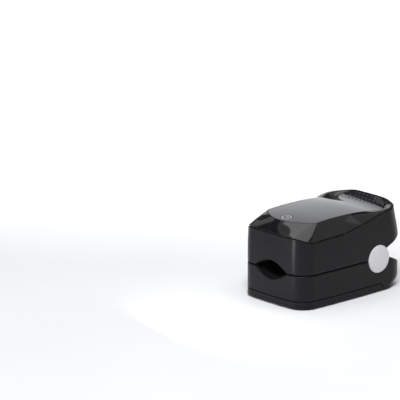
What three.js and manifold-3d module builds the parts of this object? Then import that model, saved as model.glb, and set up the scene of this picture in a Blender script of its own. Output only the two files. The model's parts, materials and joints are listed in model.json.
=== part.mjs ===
// Fingertip pulse oximeter: two clamshell jaws on a sprung hinge, a glossy top with a
// display window and a round key, two AAA cells under a slide-off battery cover.
// Millimetres, +Z up. The finger goes in from -Y, the pinch end is at +Y, and the object
// is symmetric about X = 0. The origin is the centre of the base.
import * as THREE from 'three';
import { mergeVertices } from 'three/addons/utils/BufferGeometryUtils.js';
import Module from 'manifold-3d';

const wasm = await Module();
wasm.setup();

// ---------------------------------------------------------------- driving dimensions
const LENGTH = 61;
const WIDTH = 38;
const FRONT = -LENGTH / 2;
const REAR = LENGTH / 2;
const GAP = 0.3;
const WALL = 1.8;
const FRONT_RADIUS = 6.5;
const REAR_RADIUS = 9;
const FRONT_BOW = 1.1;
const SIDE_BOW = 0.8;

const PARTING_Z = 14.6;
const UPPER_EDGE = PARTING_Z + GAP / 2;
const LOWER_EDGE = PARTING_Z - GAP / 2;
const KNEE_Z = 22;
const LEAN_TOP = 34.4;
const LEAN_INSET = 0.45;
const REAR_LEAN = 2.6;
const MOUTH_INSET = 2.6;
const MOUTH_REAR = 4.4;

const PIVOT_Y = 13.6;
const PIVOT_Z = 14.4;
const CAP_RADIUS = 5.9;
const RECESS_X = 17.75;

const FINGER_HALF = 9.6;
const FINGER_UP = 4;
const FINGER_DOWN = 3.7;
const CHANNEL_END = 6.8;
const SENSOR_Y = -8;

const COVER_TOP = 3.35;
const COVER_REAR = 16;
const COVER_CORNER = 1.8;
const COVER_FLOOR = 1;

const LENS_HALF = 14.2;
const LENS_SHOULDER = -19;
const LENS_BOW = 6.1;
const LENS_REAR = 26.2;
const LENS_THICK = 1.2;
const KEY_Y = -21.4;
const KEY_RADIUS = 2.4;

const CELL_RADIUS = 5.15;
const CELL_X = 10.9;
const CELL_Z = COVER_FLOOR + GAP + CELL_RADIUS;
const BAY_REAR = 22.8;
const BOARD_Z = 28.9;

const CORNER_STEPS = 6;
const EDGE_STEPS = 8;

// ---------------------------------------------------------------- finishes
const finish = (color, roughness, metalness = 0) =>
  new THREE.MeshStandardMaterial({ color, roughness, metalness });
const SATIN_BLACK = finish(0x2b2a2d, 0.45);
const GLOSS_BLACK = finish(0x0c0c0f, 0.08);
const SMOKED = finish(0x17181b, 0.05);
const WHITE = finish(0xdedce0, 0.35);
const SILICONE = finish(0x1c1c1e, 0.7);
const INNER_BLACK = finish(0x19191b, 0.6);
const BOARD_GREEN = finish(0x1d5b36, 0.5);
const CHIP_BLACK = finish(0x141414, 0.5);
const CLEAR = finish(0xb9c4cc, 0.1);
const STEEL = finish(0xb8babd, 0.3, 1);
const CELL_WRAP = finish(0x35507a, 0.35, 0.3);
const FLEX_AMBER = finish(0xb4701e, 0.4);

// ---------------------------------------------------------------- small maths
const flat = (z) => () => z;
const mix = (a, b, share) => a + (b - a) * share;

/** A smooth curve z(y) through a few [y, z] knots, level at both ends. */
function smoothThrough(knots) {
  const slope = (i) => {
    if (i === 0 || i === knots.length - 1) {
      return 0;
    }
    return (knots[i + 1][1] - knots[i - 1][1]) / (knots[i + 1][0] - knots[i - 1][0]);
  };
  return (y) => {
    const last = knots.length - 2;
    let i = knots.findIndex((knot) => knot[0] > y) - 1;
    i = i < -1 || i > last ? last : Math.max(i, 0);
    const span = knots[i + 1][0] - knots[i][0];
    const t = Math.min(Math.max((y - knots[i][0]) / span, 0), 1);
    const rise = t * t * (3 - 2 * t);
    const bend = span * t * (1 - t) * ((1 - t) * slope(i) - t * slope(i + 1));
    return mix(knots[i][1], knots[i + 1][1], rise) + bend;
  };
}

// Seam between the upper shell and the glossy bezel, and the crown line of the glossy top.
const seamHeight = smoothThrough([[-30.5, 30.2], [-27, 29.1], [-18, 28.6], [-8, 29], [1, 30.5],
  [10, 32.4], [16, 33.7], [21, 34.2], [28, 34.4]]);
const crownHeight = smoothThrough([[-25.5, 34.2], [-21.4, 35.2], [-12, 35.9], [0, 35.9], [10, 35.2],
  [19.5, 34.2], [24, 34.9], [28, 35.9]]);
const topHeight = (x, y) => crownHeight(y) - 0.6 * (x / LENS_HALF) ** 2;

// ---------------------------------------------------------------- solids and booleans
/** Turns a closed three.js geometry into a manifold solid. */
function toSolid(geometry) {
  const bare = geometry.clone();
  bare.deleteAttribute('normal');
  bare.deleteAttribute('uv');
  const merged = mergeVertices(bare, 1e-4);
  const index = merged.index.array;
  const kept = [];
  for (let i = 0; i < index.length; i += 3) {
    const [a, b, c] = [index[i], index[i + 1], index[i + 2]];
    if (a !== b && b !== c && c !== a) {
      kept.push(a, b, c);
    }
  }
  return new wasm.Manifold(new wasm.Mesh({
    numProp: 3,
    vertProperties: new Float32Array(merged.attributes.position.array),
    triVerts: new Uint32Array(kept),
  }));
}

/** Turns a manifold solid back into a three.js geometry. */
function toGeometry(solid) {
  const mesh = solid.getMesh();
  const geometry = new THREE.BufferGeometry();
  geometry.setAttribute('position', new THREE.BufferAttribute(mesh.vertProperties, 3));
  geometry.setIndex(new THREE.BufferAttribute(mesh.triVerts, 1));
  geometry.computeVertexNormals();
  return geometry;
}

const join = (...solids) => solids.reduce((sum, solid) => sum.add(solid));
const cut = (solid, ...tools) => tools.reduce((rest, tool) => rest.subtract(tool), solid);

/** A box between two corners. */
function block([x0, y0, z0], [x1, y1, z1]) {
  const box = new THREE.BoxGeometry(x1 - x0, y1 - y0, z1 - z0);
  box.translate((x0 + x1) / 2, (y0 + y1) / 2, (z0 + z1) / 2);
  return toSolid(box);
}

/** An upright cylinder from z0 to z1. */
function post(x, y, radius, z0, z1, sides = 24) {
  const cylinder = new THREE.CylinderGeometry(radius, radius, z1 - z0, sides);
  cylinder.rotateX(Math.PI / 2);
  cylinder.translate(x, y, (z0 + z1) / 2);
  return toSolid(cylinder);
}

/** A cylinder on the hinge axis, from x0 to x1. */
function axle(radius, x0, x1, sides = 32) {
  const cylinder = new THREE.CylinderGeometry(radius, radius, Math.abs(x1 - x0), sides);
  cylinder.rotateZ(Math.PI / 2);
  cylinder.translate((x0 + x1) / 2, PIVOT_Y, PIVOT_Z);
  return toSolid(cylinder);
}

const asShape = (profile) => (profile instanceof THREE.Shape
  ? profile
  : new THREE.Shape(profile.map(([a, b]) => new THREE.Vector2(a, b))));

/** A side profile, given in Y and Z, drawn out along X from x0 to x1. */
function sidePrism(profile, x0, x1) {
  const prism = new THREE.ExtrudeGeometry(asShape(profile),
    { depth: Math.abs(x1 - x0), bevelEnabled: false, curveSegments: 6 });
  prism.applyMatrix4(new THREE.Matrix4().makeBasis(
    new THREE.Vector3(0, 1, 0), new THREE.Vector3(0, 0, 1), new THREE.Vector3(1, 0, 0)));
  prism.translate(Math.min(x0, x1), 0, 0);
  return toSolid(prism);
}

/** A cross section, given in X and Z, drawn out along Y from y0 to y1. */
function crossPrism(profile, y0, y1) {
  const prism = new THREE.ExtrudeGeometry(asShape(profile), { depth: y1 - y0, bevelEnabled: false });
  prism.applyMatrix4(new THREE.Matrix4().makeBasis(
    new THREE.Vector3(1, 0, 0), new THREE.Vector3(0, 0, 1), new THREE.Vector3(0, -1, 0)));
  prism.translate(0, y1, 0);
  return toSolid(prism);
}

/** Skins a stack of equal rings. An open stack is capped, a looped one closes on itself. */
function loft(rings, looped = false) {
  const count = rings[0].length;
  const positions = rings.flat().flatMap((point) => point.toArray());
  const index = [];
  const pairs = looped ? rings.length : rings.length - 1;
  for (let k = 0; k < pairs; k += 1) {
    const low = k * count;
    const high = ((k + 1) % rings.length) * count;
    for (let i = 0; i < count; i += 1) {
      const next = (i + 1) % count;
      index.push(low + i, low + next, high + next, low + i, high + next, high + i);
    }
  }
  if (!looped) {
    const top = (rings.length - 1) * count;
    const faces = (ring) => THREE.ShapeUtils.triangulateShape(
      ring.map((point) => new THREE.Vector2(point.x, point.y)), []);
    faces(rings[0]).forEach(([a, b, c]) => index.push(a, c, b));
    faces(rings[rings.length - 1]).forEach(([a, b, c]) => index.push(top + a, top + b, top + c));
  }
  const geometry = new THREE.BufferGeometry();
  geometry.setAttribute('position', new THREE.BufferAttribute(new Float32Array(positions), 3));
  geometry.setIndex(index);
  return toSolid(geometry);
}

/** A round wire along a curve. */
function wire(points, radius, steps) {
  const section = new THREE.Shape();
  section.absarc(0, 0, radius, 0, 2 * Math.PI);
  const path = new THREE.CatmullRomCurve3(points);
  return toSolid(new THREE.ExtrudeGeometry(section,
    { steps, curveSegments: 3, bevelEnabled: false, extrudePath: path }));
}

// ---------------------------------------------------------------- plan outlines
/** A rounded rectangle with a bowed front and bowed sides, counter-clockwise from above. */
function outline({ half, front, rear, frontRadius, rearRadius, frontBow, sideBow }) {
  const straightHalf = half - sideBow;
  const straightFront = front + frontBow;
  const corners = [
    [straightHalf - frontRadius, straightFront + frontRadius, frontRadius, -90],
    [straightHalf - rearRadius, rear - rearRadius, rearRadius, 0],
    [rearRadius - straightHalf, rear - rearRadius, rearRadius, 90],
    [frontRadius - straightHalf, straightFront + frontRadius, frontRadius, 180],
  ];
  const arcs = corners.map(([x, y, radius, start]) => {
    const arc = new THREE.EllipseCurve(x, y, radius, radius,
      THREE.MathUtils.degToRad(start), THREE.MathUtils.degToRad(start + 90));
    return arc.getPoints(CORNER_STEPS);
  });
  const points = arcs.flatMap((arc, i) => {
    const from = arc[CORNER_STEPS];
    const to = arcs[(i + 1) % arcs.length][0];
    const between = Array.from({ length: EDGE_STEPS - 1 }, (_, k) =>
      from.clone().lerp(to, (k + 1) / EDGE_STEPS));
    return [...arc, ...between];
  });
  return points.map(({ x, y }) => {
    const along = 1 - (y / (y < 0 ? front : rear)) ** 2;
    const across = 1 - (x / straightHalf) ** 2;
    return new THREE.Vector2(
      x * (1 + (sideBow / straightHalf) * along),
      y < 0 ? y * (1 + (frontBow / -straightFront) * across) : y);
  });
}

/** The plan of the body, moved in by inset, and by rearInset at the rear. */
const bodyOutline = (inset, rearInset = inset) => outline({
  half: WIDTH / 2 - inset,
  front: FRONT + inset,
  rear: REAR - rearInset,
  frontRadius: Math.max(FRONT_RADIUS - inset, 1),
  rearRadius: Math.max(REAR_RADIUS - inset, 1),
  frontBow: FRONT_BOW,
  sideBow: SIDE_BOW,
});

/** The D-shaped plan of the display lens, moved in by inset. */
const lensOutline = (inset) => outline({
  half: LENS_HALF - inset,
  front: LENS_SHOULDER - LENS_BOW + inset,
  rear: LENS_REAR - inset,
  frontRadius: 1.8,
  rearRadius: 8.5 - inset,
  frontBow: LENS_BOW,
  sideBow: 0,
});

/** Lifts a plan outline to the height that height(x, y) gives. */
const ring = (plan, height) => plan.map(({ x, y }) => new THREE.Vector3(x, y, height(x, y)));
const shrink = (plan, share) => plan.map((point) => point.clone().multiplyScalar(share));
const upright = (plan, z0, z1) => loft([ring(plan, flat(z0)), ring(plan, flat(z1))]);

/** Everything under the bezel seam, moved up by offset. */
function underSeam(offset) {
  const steps = 28;
  const line = Array.from({ length: steps + 1 }, (_, i) => {
    const y = mix(FRONT - 1, REAR + 1, i / steps);
    return [y, seamHeight(y) + offset];
  });
  return sidePrism([[REAR + 1, -5], ...line.reverse(), [FRONT - 1, -5]], -WIDTH, WIDTH);
}

/** The leaning wall of the upper jaw at the seam, moved in by inset and up by offset. */
function seamRing(inset, offset) {
  const leaning = bodyOutline(LEAN_INSET + inset, REAR_LEAN + inset);
  return bodyOutline(inset).map((point, i) => {
    const share = (seamHeight(point.y) - KNEE_Z) / (LEAN_TOP - KNEE_Z);
    const { x, y } = point.clone().lerp(leaning[i], share);
    return new THREE.Vector3(x, y, seamHeight(y) + offset);
  });
}

// ---------------------------------------------------------------- finger channel sections
/** The almond arch of the finger opening: points from -half to +half. */
function arch(half, rise, base) {
  const steps = 14;
  return Array.from({ length: steps + 1 }, (_, i) => {
    const u = (2 * i) / steps - 1;
    return [u * half, base + rise * (1 - u * u) ** 1.2];
  });
}

const fingerOpening = () => crossPrism([
  ...arch(FINGER_HALF, -FINGER_DOWN, PARTING_Z),
  ...arch(FINGER_HALF, FINGER_UP, PARTING_Z).reverse().slice(1, -1),
], FRONT - 1, FRONT + 3);

/** A flanged arch plate between two arches, out to halfWidth, with a wall at its inner end. */
function cradle({ halfWidth, near, far, y0, y1, wall }) {
  const face = arch(near.half, near.rise, near.base);
  const back = arch(far.half, far.rise, far.base).reverse();
  const plate = crossPrism([
    [-halfWidth, near.base], ...face, [halfWidth, near.base],
    [halfWidth, far.base], ...back, [-halfWidth, far.base],
  ], y0, y1);
  const end = crossPrism([[-far.half, near.base], [far.half, near.base], ...back], y1 - wall, y1);
  const bay = upright(bodyOutline(WALL + GAP), -1, 40);
  return join(plate, end).intersect(bay);
}

// ---------------------------------------------------------------- hinge cut-outs shared by both shells
const hingeRecess = () => join(
  axle(CAP_RADIUS + 0.25, RECESS_X, WIDTH / 2 + 1, 48),
  axle(CAP_RADIUS + 0.25, -RECESS_X, -WIDTH / 2 - 1, 48),
  axle(2.2, -WIDTH / 2, WIDTH / 2));

const undercutZ = (y) => PIVOT_Z + 1.54 + 0.424 * (y - PIVOT_Y);
const UNDERCUT_START = PIVOT_Y - (1.54 - UPPER_EDGE + PIVOT_Z) / 0.424;
const DECK_START = 19.2;
const deckZ = (y) => LOWER_EDGE - 0.45 * (y - DECK_START);
const UPPER_SCREWS = [[-14.9, -22.5], [14.9, -22.5], [-14.9, 3], [14.9, 3]];
const LOWER_SCREWS = [[0, -22], [0, 14.6]];

// ---------------------------------------------------------------- upper jaw
function upperShell() {
  const outer = loft([
    ring(bodyOutline(0.25), flat(UPPER_EDGE)),
    ring(bodyOutline(0), flat(UPPER_EDGE + 0.35)),
    ring(bodyOutline(0), flat(KNEE_Z)),
    ring(bodyOutline(LEAN_INSET, REAR_LEAN), flat(LEAN_TOP)),
  ]).intersect(underSeam(-GAP / 2));
  const cavity = loft([
    ring(bodyOutline(WALL), flat(UPPER_EDGE - 1)),
    ring(bodyOutline(WALL), flat(KNEE_Z)),
    ring(bodyOutline(WALL + LEAN_INSET, WALL + REAR_LEAN), flat(LEAN_TOP)),
  ]).intersect(underSeam(-1.6));
  const mouth = upright(bodyOutline(MOUTH_INSET, MOUTH_REAR), KNEE_Z + 2, LEAN_TOP + 1);
  const floor = sidePrism([
    [DECK_START, undercutZ(DECK_START)], [REAR + 1, undercutZ(REAR + 1)],
    [REAR + 1, undercutZ(REAR + 1) + 1.6], [DECK_START, undercutZ(DECK_START) + 1.6],
  ], -WIDTH / 2, WIDTH / 2);
  const under = sidePrism([
    [UNDERCUT_START, UPPER_EDGE], [REAR + 2, undercutZ(REAR + 2)], [REAR + 2, 0], [UNDERCUT_START, 0],
  ], -WIDTH, WIDTH);
  const bosses = UPPER_SCREWS.map(([x, y]) => post(x, y, 2.2, 17.45, 27.6, 16));
  const pilots = UPPER_SCREWS.map(([x, y]) => post(x, y, 1, 17, 24, 12));
  const walls = cut(outer, cut(cavity, floor), mouth, under);
  return cut(join(walls, ...bosses), ...pilots, hingeRecess(), fingerOpening());
}

function topBezel() {
  const foot = seamRing(0, 0);
  const edge = lensOutline(0);
  const ledge = lensOutline(1);
  const lift = smoothThrough([[12, 0.3], [24, 0.8], [30, 0.8]]);
  const crest = foot.map((point, i) => {
    const top = new THREE.Vector3(edge[i].x, edge[i].y, topHeight(edge[i].x, edge[i].y));
    const half = point.clone().lerp(top, 0.5);
    return half.setZ(half.z + lift(half.y));
  });
  const body = loft([
    seamRing(0, -0.6),
    foot,
    crest,
    ring(edge, topHeight),
    ring(edge, (x, y) => topHeight(x, y) - LENS_THICK - GAP),
    ring(ledge, (x, y) => topHeight(x, y) - LENS_THICK - GAP),
    ring(ledge, (x, y) => topHeight(x, y) - LENS_THICK - GAP - 0.9),
    seamRing(WALL, -0.6),
  ], true);
  const overShell = cut(underSeam(GAP / 2),
    upright(bodyOutline(MOUTH_INSET + GAP, MOUTH_REAR + GAP), KNEE_Z, LEAN_TOP + 1));
  return cut(body, overShell, post(0, KEY_Y, KEY_RADIUS + 1.1, BOARD_Z, 40, 32));
}

/** The lens body: a thin dished sheet that follows the top surface. */
function lensSheet(inset, thickness) {
  const plan = lensOutline(inset);
  const shares = [0.04, 0.3, 0.55, 0.8];
  const under = (x, y) => topHeight(x, y) - thickness;
  return loft([
    ...shares.map((share) => ring(shrink(plan, share), under)),
    ring(plan, under),
    ring(plan, topHeight),
    ...shares.slice().reverse().map((share) => ring(shrink(plan, share), topHeight)),
  ]);
}

const displayLens = () => cut(lensSheet(0.2, LENS_THICK), post(0, KEY_Y, KEY_RADIUS + 0.2, 25, 40, 32));

function powerButton() {
  const key = post(0, KEY_Y, KEY_RADIUS, 32.8, 40, 32).intersect(lensSheet(0.2, 4));
  const flange = post(0, KEY_Y, KEY_RADIUS + 0.7, 32.3, 32.9, 32);
  const stem = post(0, KEY_Y, 1.2, 32, 32.5, 16);
  return join(key, flange, stem);
}

const tactSwitch = () => cut(
  block([-3, KEY_Y - 3, BOARD_Z + 0.9], [3, KEY_Y + 3, BOARD_Z + 2.5]),
  post(0, KEY_Y, 1.3, BOARD_Z + 1.4, BOARD_Z + 4, 16));
const switchPlunger = () => post(0, KEY_Y, 1.1, BOARD_Z + 2, 31.8, 16);
const displayModule = () => block([-11.2, -14, BOARD_Z + 1.1], [11.2, 13, BOARD_Z + 2.8]);
const mainBoard = () => block([-12.2, -24.8, BOARD_Z], [12.2, 17, BOARD_Z + 0.8]);
const processorChip = () => block([-3.5, 1, BOARD_Z - 1.2], [3.5, 8, BOARD_Z - 0.1]);

const UPPER_ARCHES = {
  padNear: { half: 9.2, rise: 3.6, base: UPPER_EDGE },
  padFar: { half: 10.1, rise: 3.75, base: UPPER_EDGE + 0.9 },
  trayNear: { half: 10.5, rise: 3.8, base: UPPER_EDGE + 1.2 },
  trayFar: { half: 11.6, rise: 3.9, base: UPPER_EDGE + 2.4 },
};
const LOWER_ARCHES = {
  padNear: { half: 9.2, rise: -3.4, base: LOWER_EDGE },
  padFar: { half: 10.1, rise: -3.5, base: LOWER_EDGE - 0.9 },
  trayNear: { half: 10.5, rise: -3.55, base: LOWER_EDGE - 1.2 },
  trayFar: { half: 11.4, rise: -3.7, base: LOWER_EDGE - 1.9 },
};
const sensorHole = (z0, z1) => block([-3.6, SENSOR_Y - 2.9, z0], [3.6, SENSOR_Y + 2.9, z1]);
const sensorWindow = (z0, z1) => block([-3.3, SENSOR_Y - 2.6, z0], [3.3, SENSOR_Y + 2.6, z1]);

const upperPad = () => cut(cradle({
  halfWidth: 12.6,
  near: UPPER_ARCHES.padNear,
  far: UPPER_ARCHES.padFar,
  y0: FRONT + 2.2,
  y1: CHANNEL_END + 1.2,
  wall: 1.2,
}), sensorHole(17, 21));

function upperTray() {
  const plate = cradle({
    halfWidth: 16.8,
    near: UPPER_ARCHES.trayNear,
    far: UPPER_ARCHES.trayFar,
    y0: FRONT + 2.2,
    y1: CHANNEL_END + 2.5,
    wall: 1,
  });
  const floorZ = UPPER_ARCHES.trayNear.base;
  const ears = [-1, 1].map((side) => join(
    axle(2.6, side * 14.2, side * 16.4),
    sidePrism([[5, floorZ], [8.8, floorZ], [11.2, 13.4], [PIVOT_Y, PIVOT_Z], [15.4, 16.2],
      [12.9, 16.9], [5, floorZ + 1.2]], side * 14.2, side * 16.4)));
  const posts = [[-10.3, -23.4], [10.3, -23.4], [-10.3, 6], [10.3, 6]].map(([x, y]) =>
    post(x, y, 1.3, floorZ + 0.8, BOARD_Z - GAP, 12));
  const screwHoles = UPPER_SCREWS.map(([x, y]) => post(x, y, 1.05, 14, 20, 12));
  return cut(join(plate, ...ears, ...posts), axle(1.35, -WIDTH, WIDTH), sensorHole(17, 24), ...screwHoles);
}

const emitterBoard = () => block([-5, SENSOR_Y - 6, 21.4], [5, SENSOR_Y + 6, 22.2]);
const emitterWindow = () => sensorWindow(UPPER_EDGE + 3.8, 21.1);

// ---------------------------------------------------------------- lower jaw
/** The zone of the battery cover, seen from the side, with its rounded rear corner. */
function coverZone(grow) {
  const rear = COVER_REAR + grow;
  const top = COVER_TOP + grow;
  const shape = new THREE.Shape();
  shape.moveTo(FRONT - 2, -1);
  shape.lineTo(rear, -1);
  shape.lineTo(rear, top - COVER_CORNER);
  shape.absarc(rear - COVER_CORNER, top - COVER_CORNER, COVER_CORNER, 0, Math.PI / 2, false);
  shape.lineTo(FRONT - 2, top);
  return sidePrism(shape, -WIDTH, WIDTH);
}

/** The outer form of the lower body, with a rounded foot and a kicked-up rear. */
const lowerForm = () => loft([
  ring(bodyOutline(1.2, 6), flat(0)),
  ring(bodyOutline(0.45, 4.4), flat(0.4)),
  ring(bodyOutline(0, 2.6), flat(1.5)),
  ring(bodyOutline(0, 0.8), flat(3.3)),
  ring(bodyOutline(0, 0), flat(5.2)),
  ring(bodyOutline(0), flat(LOWER_EDGE - 0.35)),
  ring(bodyOutline(0.25), flat(LOWER_EDGE)),
]);

function lowerShell() {
  const above = sidePrism([
    [DECK_START, LOWER_EDGE], [REAR + 2, deckZ(REAR + 2)], [REAR + 2, 20], [DECK_START, 20],
  ], -WIDTH, WIDTH);
  const deck = sidePrism([
    [DECK_START, deckZ(DECK_START) - 1.6], [REAR + 1, deckZ(REAR + 1) - 1.6],
    [REAR + 1, deckZ(REAR + 1)], [DECK_START, deckZ(DECK_START)],
  ], -WIDTH / 2, WIDTH / 2);
  const skirt = upright(bodyOutline(1.5), COVER_FLOOR + GAP, 4.2);
  const walls = join(cut(lowerForm(), coverZone(GAP)), skirt.intersect(coverZone(1)));
  const bay = join(
    upright(bodyOutline(2.3), -1, 4.2).intersect(block([-20, -40, -1], [20, COVER_REAR + GAP, 5])),
    upright(bodyOutline(2.3), COVER_FLOOR, 4.2).intersect(block([-20, -40, -1], [20, BAY_REAR, 5])),
    upright(bodyOutline(WALL), 4, 20).intersect(block([-20, -40, 4], [20, BAY_REAR, 20])),
    upright(bodyOutline(WALL), 9, 20),
    upright(bodyOutline(WALL + 1), 5, 9.2).intersect(block([-20, BAY_REAR + 1.3, 0], [20, 40, 20])));
  const spine = block([-5.5, FRONT + 1.5, 3], [5.5, BAY_REAR + 0.3, 4.4]);
  const screwHoles = LOWER_SCREWS.map(([x, y]) => post(x, y, 1.1, 2, 6, 12));
  return cut(join(cut(walls, cut(bay, deck), above), spine), ...screwHoles, hingeRecess(), fingerOpening());
}

const batteryCover = () => cut(
  lowerForm().intersect(coverZone(0)),
  upright(bodyOutline(1.2, 0), COVER_FLOOR, COVER_TOP + 1));

const lowerPad = () => cut(cradle({
  halfWidth: 12.6,
  near: LOWER_ARCHES.padNear,
  far: LOWER_ARCHES.padFar,
  y0: FRONT + 2.2,
  y1: CHANNEL_END + 1.2,
  wall: 1.2,
}), sensorHole(8, 13));

function lowerTray() {
  const plate = cradle({
    halfWidth: 16.8,
    near: LOWER_ARCHES.trayNear,
    far: LOWER_ARCHES.trayFar,
    y0: FRONT + 2.2,
    y1: CHANNEL_END + 2.5,
    wall: 1,
  });
  const top = LOWER_ARCHES.trayNear.base;
  const bottom = LOWER_ARCHES.trayFar.base;
  const rearPlate = block([-16.6, CHANNEL_END + 2, bottom], [16.6, 17.5, top]);
  const ears = [-1, 1].map((side) => join(
    axle(2.6, side * 11.7, side * 13.9),
    sidePrism([[10.8, bottom], [16.4, bottom], [16.15, PIVOT_Z], [11.05, PIVOT_Z]], side * 11.7, side * 13.9)));
  const notches = [-1, 1].flatMap((side) => [[8, 11.4], [14, 17]].map(([a, b]) =>
    block([Math.min(side * a, side * b), 10.6, 10], [Math.max(side * a, side * b), 18, 20])));
  const flexSlot = block([-4.6, 10.2, 10], [4.6, 12.2, 16]);
  const bosses = LOWER_SCREWS.map(([x, y], i) => post(x, y, 2.1, 4.7, i === 0 ? 9.3 : bottom + 0.3, 16));
  const pilots = LOWER_SCREWS.map(([x, y]) => post(x, y, 0.95, 4, 8.4, 12));
  const earHoles = axle(1.35, -WIDTH, WIDTH);
  return cut(join(cut(join(plate, rearPlate), ...notches, flexSlot), ...ears, ...bosses),
    earHoles, sensorHole(7, 13), ...pilots);
}

const detectorBoard = () => block([-4.6, SENSOR_Y - 6, 6.9], [4.6, SENSOR_Y + 6, 7.7]);
const detectorWindow = () => sensorWindow(8, LOWER_EDGE - 3.5);

// ---------------------------------------------------------------- cells and contacts
/** A AAA cell whose positive nub points towards +Y when forward is 1. */
function cell(side, rearEnd) {
  const bodyLength = 43.7;
  const profile = [[0, 0], [4.9, 0], [CELL_RADIUS, 0.4], [CELL_RADIUS, bodyLength - 0.4], [4.9, bodyLength],
    [1.9, bodyLength], [1.9, bodyLength + 0.8], [0, bodyLength + 0.8]];
  const lathe = new THREE.LatheGeometry(profile.map(([r, y]) => new THREE.Vector2(r, y)), 24);
  if (!rearEnd) {
    lathe.rotateX(Math.PI);
  }
  lathe.translate(side * CELL_X, rearEnd ? -22.7 : 19.3, CELL_Z);
  return toSolid(lathe);
}

/** The cone spring at a cell's flat end, from y0 to y1. */
function cellSpring(side, y0, y1) {
  const turns = 2.5;
  const count = turns * 8;
  const points = Array.from({ length: count + 1 }, (_, i) => {
    const angle = (i / 8) * 2 * Math.PI;
    const radius = mix(3.4, 2.4, i / count);
    return new THREE.Vector3(side * CELL_X + radius * Math.cos(angle), mix(y0, y1, i / count),
      CELL_Z + radius * Math.sin(angle));
  });
  return wire(points, 0.3, 30);
}

const contactPlate = (x0, x1, y0, z0, z1) => block([x0, y0, z0], [x1, y0 + 0.4, z1]);

// ---------------------------------------------------------------- hinge
function pivotCap(side) {
  const profile = [[0, 19.75], [2.5, 19.66], [4.6, 19.4], [5.5, 19.1], [CAP_RADIUS, 18.7],
    [CAP_RADIUS, RECESS_X + 0.2], [3.2, RECESS_X + 0.2], [3.2, 18.6], [0, 18.6]];
  const lathe = new THREE.LatheGeometry(profile.map(([r, x]) => new THREE.Vector2(r, x)).reverse(), 48);
  lathe.rotateZ(-side * Math.PI / 2);
  lathe.translate(0, PIVOT_Y, PIVOT_Z);
  return toSolid(lathe);
}

const hingePin = (side) => join(
  axle(1.2, side * 8.1, side * 18, 24),
  axle(2.6, side * (RECESS_X + 0.1), side * 18.3, 24));

/** The torsion spring on a pin: a close coil whose two legs push the pinch ends apart. */
function hingeSpring(side) {
  const turns = 3.6;
  const perTurn = 10;
  const radius = 1.95;
  const start = -0.6;
  const coil = Array.from({ length: turns * perTurn + 1 }, (_, i) => {
    const angle = start + (i / perTurn) * 2 * Math.PI;
    return new THREE.Vector3(side * mix(8.6, 11.1, i / (turns * perTurn)),
      PIVOT_Y + radius * Math.sin(angle), PIVOT_Z - radius * Math.cos(angle));
  });
  const lowerLeg = new THREE.Vector3(side * 8.5, PIVOT_Y + 5, PIVOT_Z - 2);
  const upperLeg = new THREE.Vector3(side * 11.1, PIVOT_Y + 5, PIVOT_Z + 2.6);
  return wire([lowerLeg, ...coil, upperLeg], 0.28, 64);
}

/** The flat flex from the main board, past the hinge axis, to the detector board. */
function flexCable() {
  const route = new THREE.SplineCurve([[17.6, 29.2], [18, 24], [14.5, 18.5], [12.2, 14.6], [11.4, 12.6],
    [10.9, 10.3], [9.6, 8.2], [6.5, 7.6], [-1.6, 7.3]].map(([y, z]) => new THREE.Vector2(y, z)));
  const steps = 20;
  const edge = (offset) => Array.from({ length: steps + 1 }, (_, i) => {
    const point = route.getPoint(i / steps);
    const along = route.getTangent(i / steps);
    return [point.x - along.y * offset, point.y + along.x * offset];
  });
  return sidePrism([...edge(0.15), ...edge(-0.15).reverse()], -4, 4);
}

/** A pan-head screw pointing up, its head from z0. */
const screw = (x, y, z0, headRadius, headHeight, length, shank) => join(
  post(x, y, headRadius, z0, z0 + headHeight, 20),
  post(x, y, shank, z0 + headHeight - 0.1, z0 + headHeight + length, 12));

// ---------------------------------------------------------------- assembly
const upperJaw = new THREE.Group();
const lowerJaw = new THREE.Group();

function place(group, name, solid, material) {
  const mesh = new THREE.Mesh(toGeometry(solid), material);
  mesh.name = name;
  group.add(mesh);
}

place(upperJaw, 'upper_shell', upperShell(), SATIN_BLACK);
place(upperJaw, 'top_bezel', topBezel(), GLOSS_BLACK);
place(upperJaw, 'display_lens', displayLens(), SMOKED);
place(upperJaw, 'power_button', powerButton(), SMOKED);
place(upperJaw, 'switch_plunger', switchPlunger(), CHIP_BLACK);
place(upperJaw, 'tact_switch', tactSwitch(), STEEL);
place(upperJaw, 'display_module', displayModule(), GLOSS_BLACK);
place(upperJaw, 'main_board', mainBoard(), BOARD_GREEN);
place(upperJaw, 'processor_chip', processorChip(), CHIP_BLACK);
place(upperJaw, 'upper_tray', upperTray(), INNER_BLACK);
place(upperJaw, 'upper_pad', upperPad(), SILICONE);
place(upperJaw, 'emitter_board', emitterBoard(), BOARD_GREEN);
place(upperJaw, 'emitter_window', emitterWindow(), CLEAR);
UPPER_SCREWS.forEach(([x, y], i) => {
  place(upperJaw, `upper_screw_${i + 1}`, screw(x, y, 14.95, 1.5, 0.8, 6, 0.8), STEEL);
});

place(lowerJaw, 'lower_shell', lowerShell(), SATIN_BLACK);
place(lowerJaw, 'battery_cover', batteryCover(), SATIN_BLACK);
place(lowerJaw, 'lower_tray', lowerTray(), INNER_BLACK);
place(lowerJaw, 'lower_pad', lowerPad(), SILICONE);
place(lowerJaw, 'detector_board', detectorBoard(), BOARD_GREEN);
place(lowerJaw, 'detector_window', detectorWindow(), CLEAR);
place(lowerJaw, 'battery_left', cell(-1, false), CELL_WRAP);
place(lowerJaw, 'battery_right', cell(1, true), CELL_WRAP);
place(lowerJaw, 'battery_spring_left', cellSpring(-1, 21.6, 19.95), STEEL);
place(lowerJaw, 'battery_spring_right', cellSpring(1, -25.0, -23.35), STEEL);
place(lowerJaw, 'contact_bridge', contactPlate(-13.5, 13.5, -25.9, 4.7, 8.5), STEEL);
place(lowerJaw, 'contact_rear_left', contactPlate(-15, -7, 22.1, 2.8, 10), STEEL);
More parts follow.
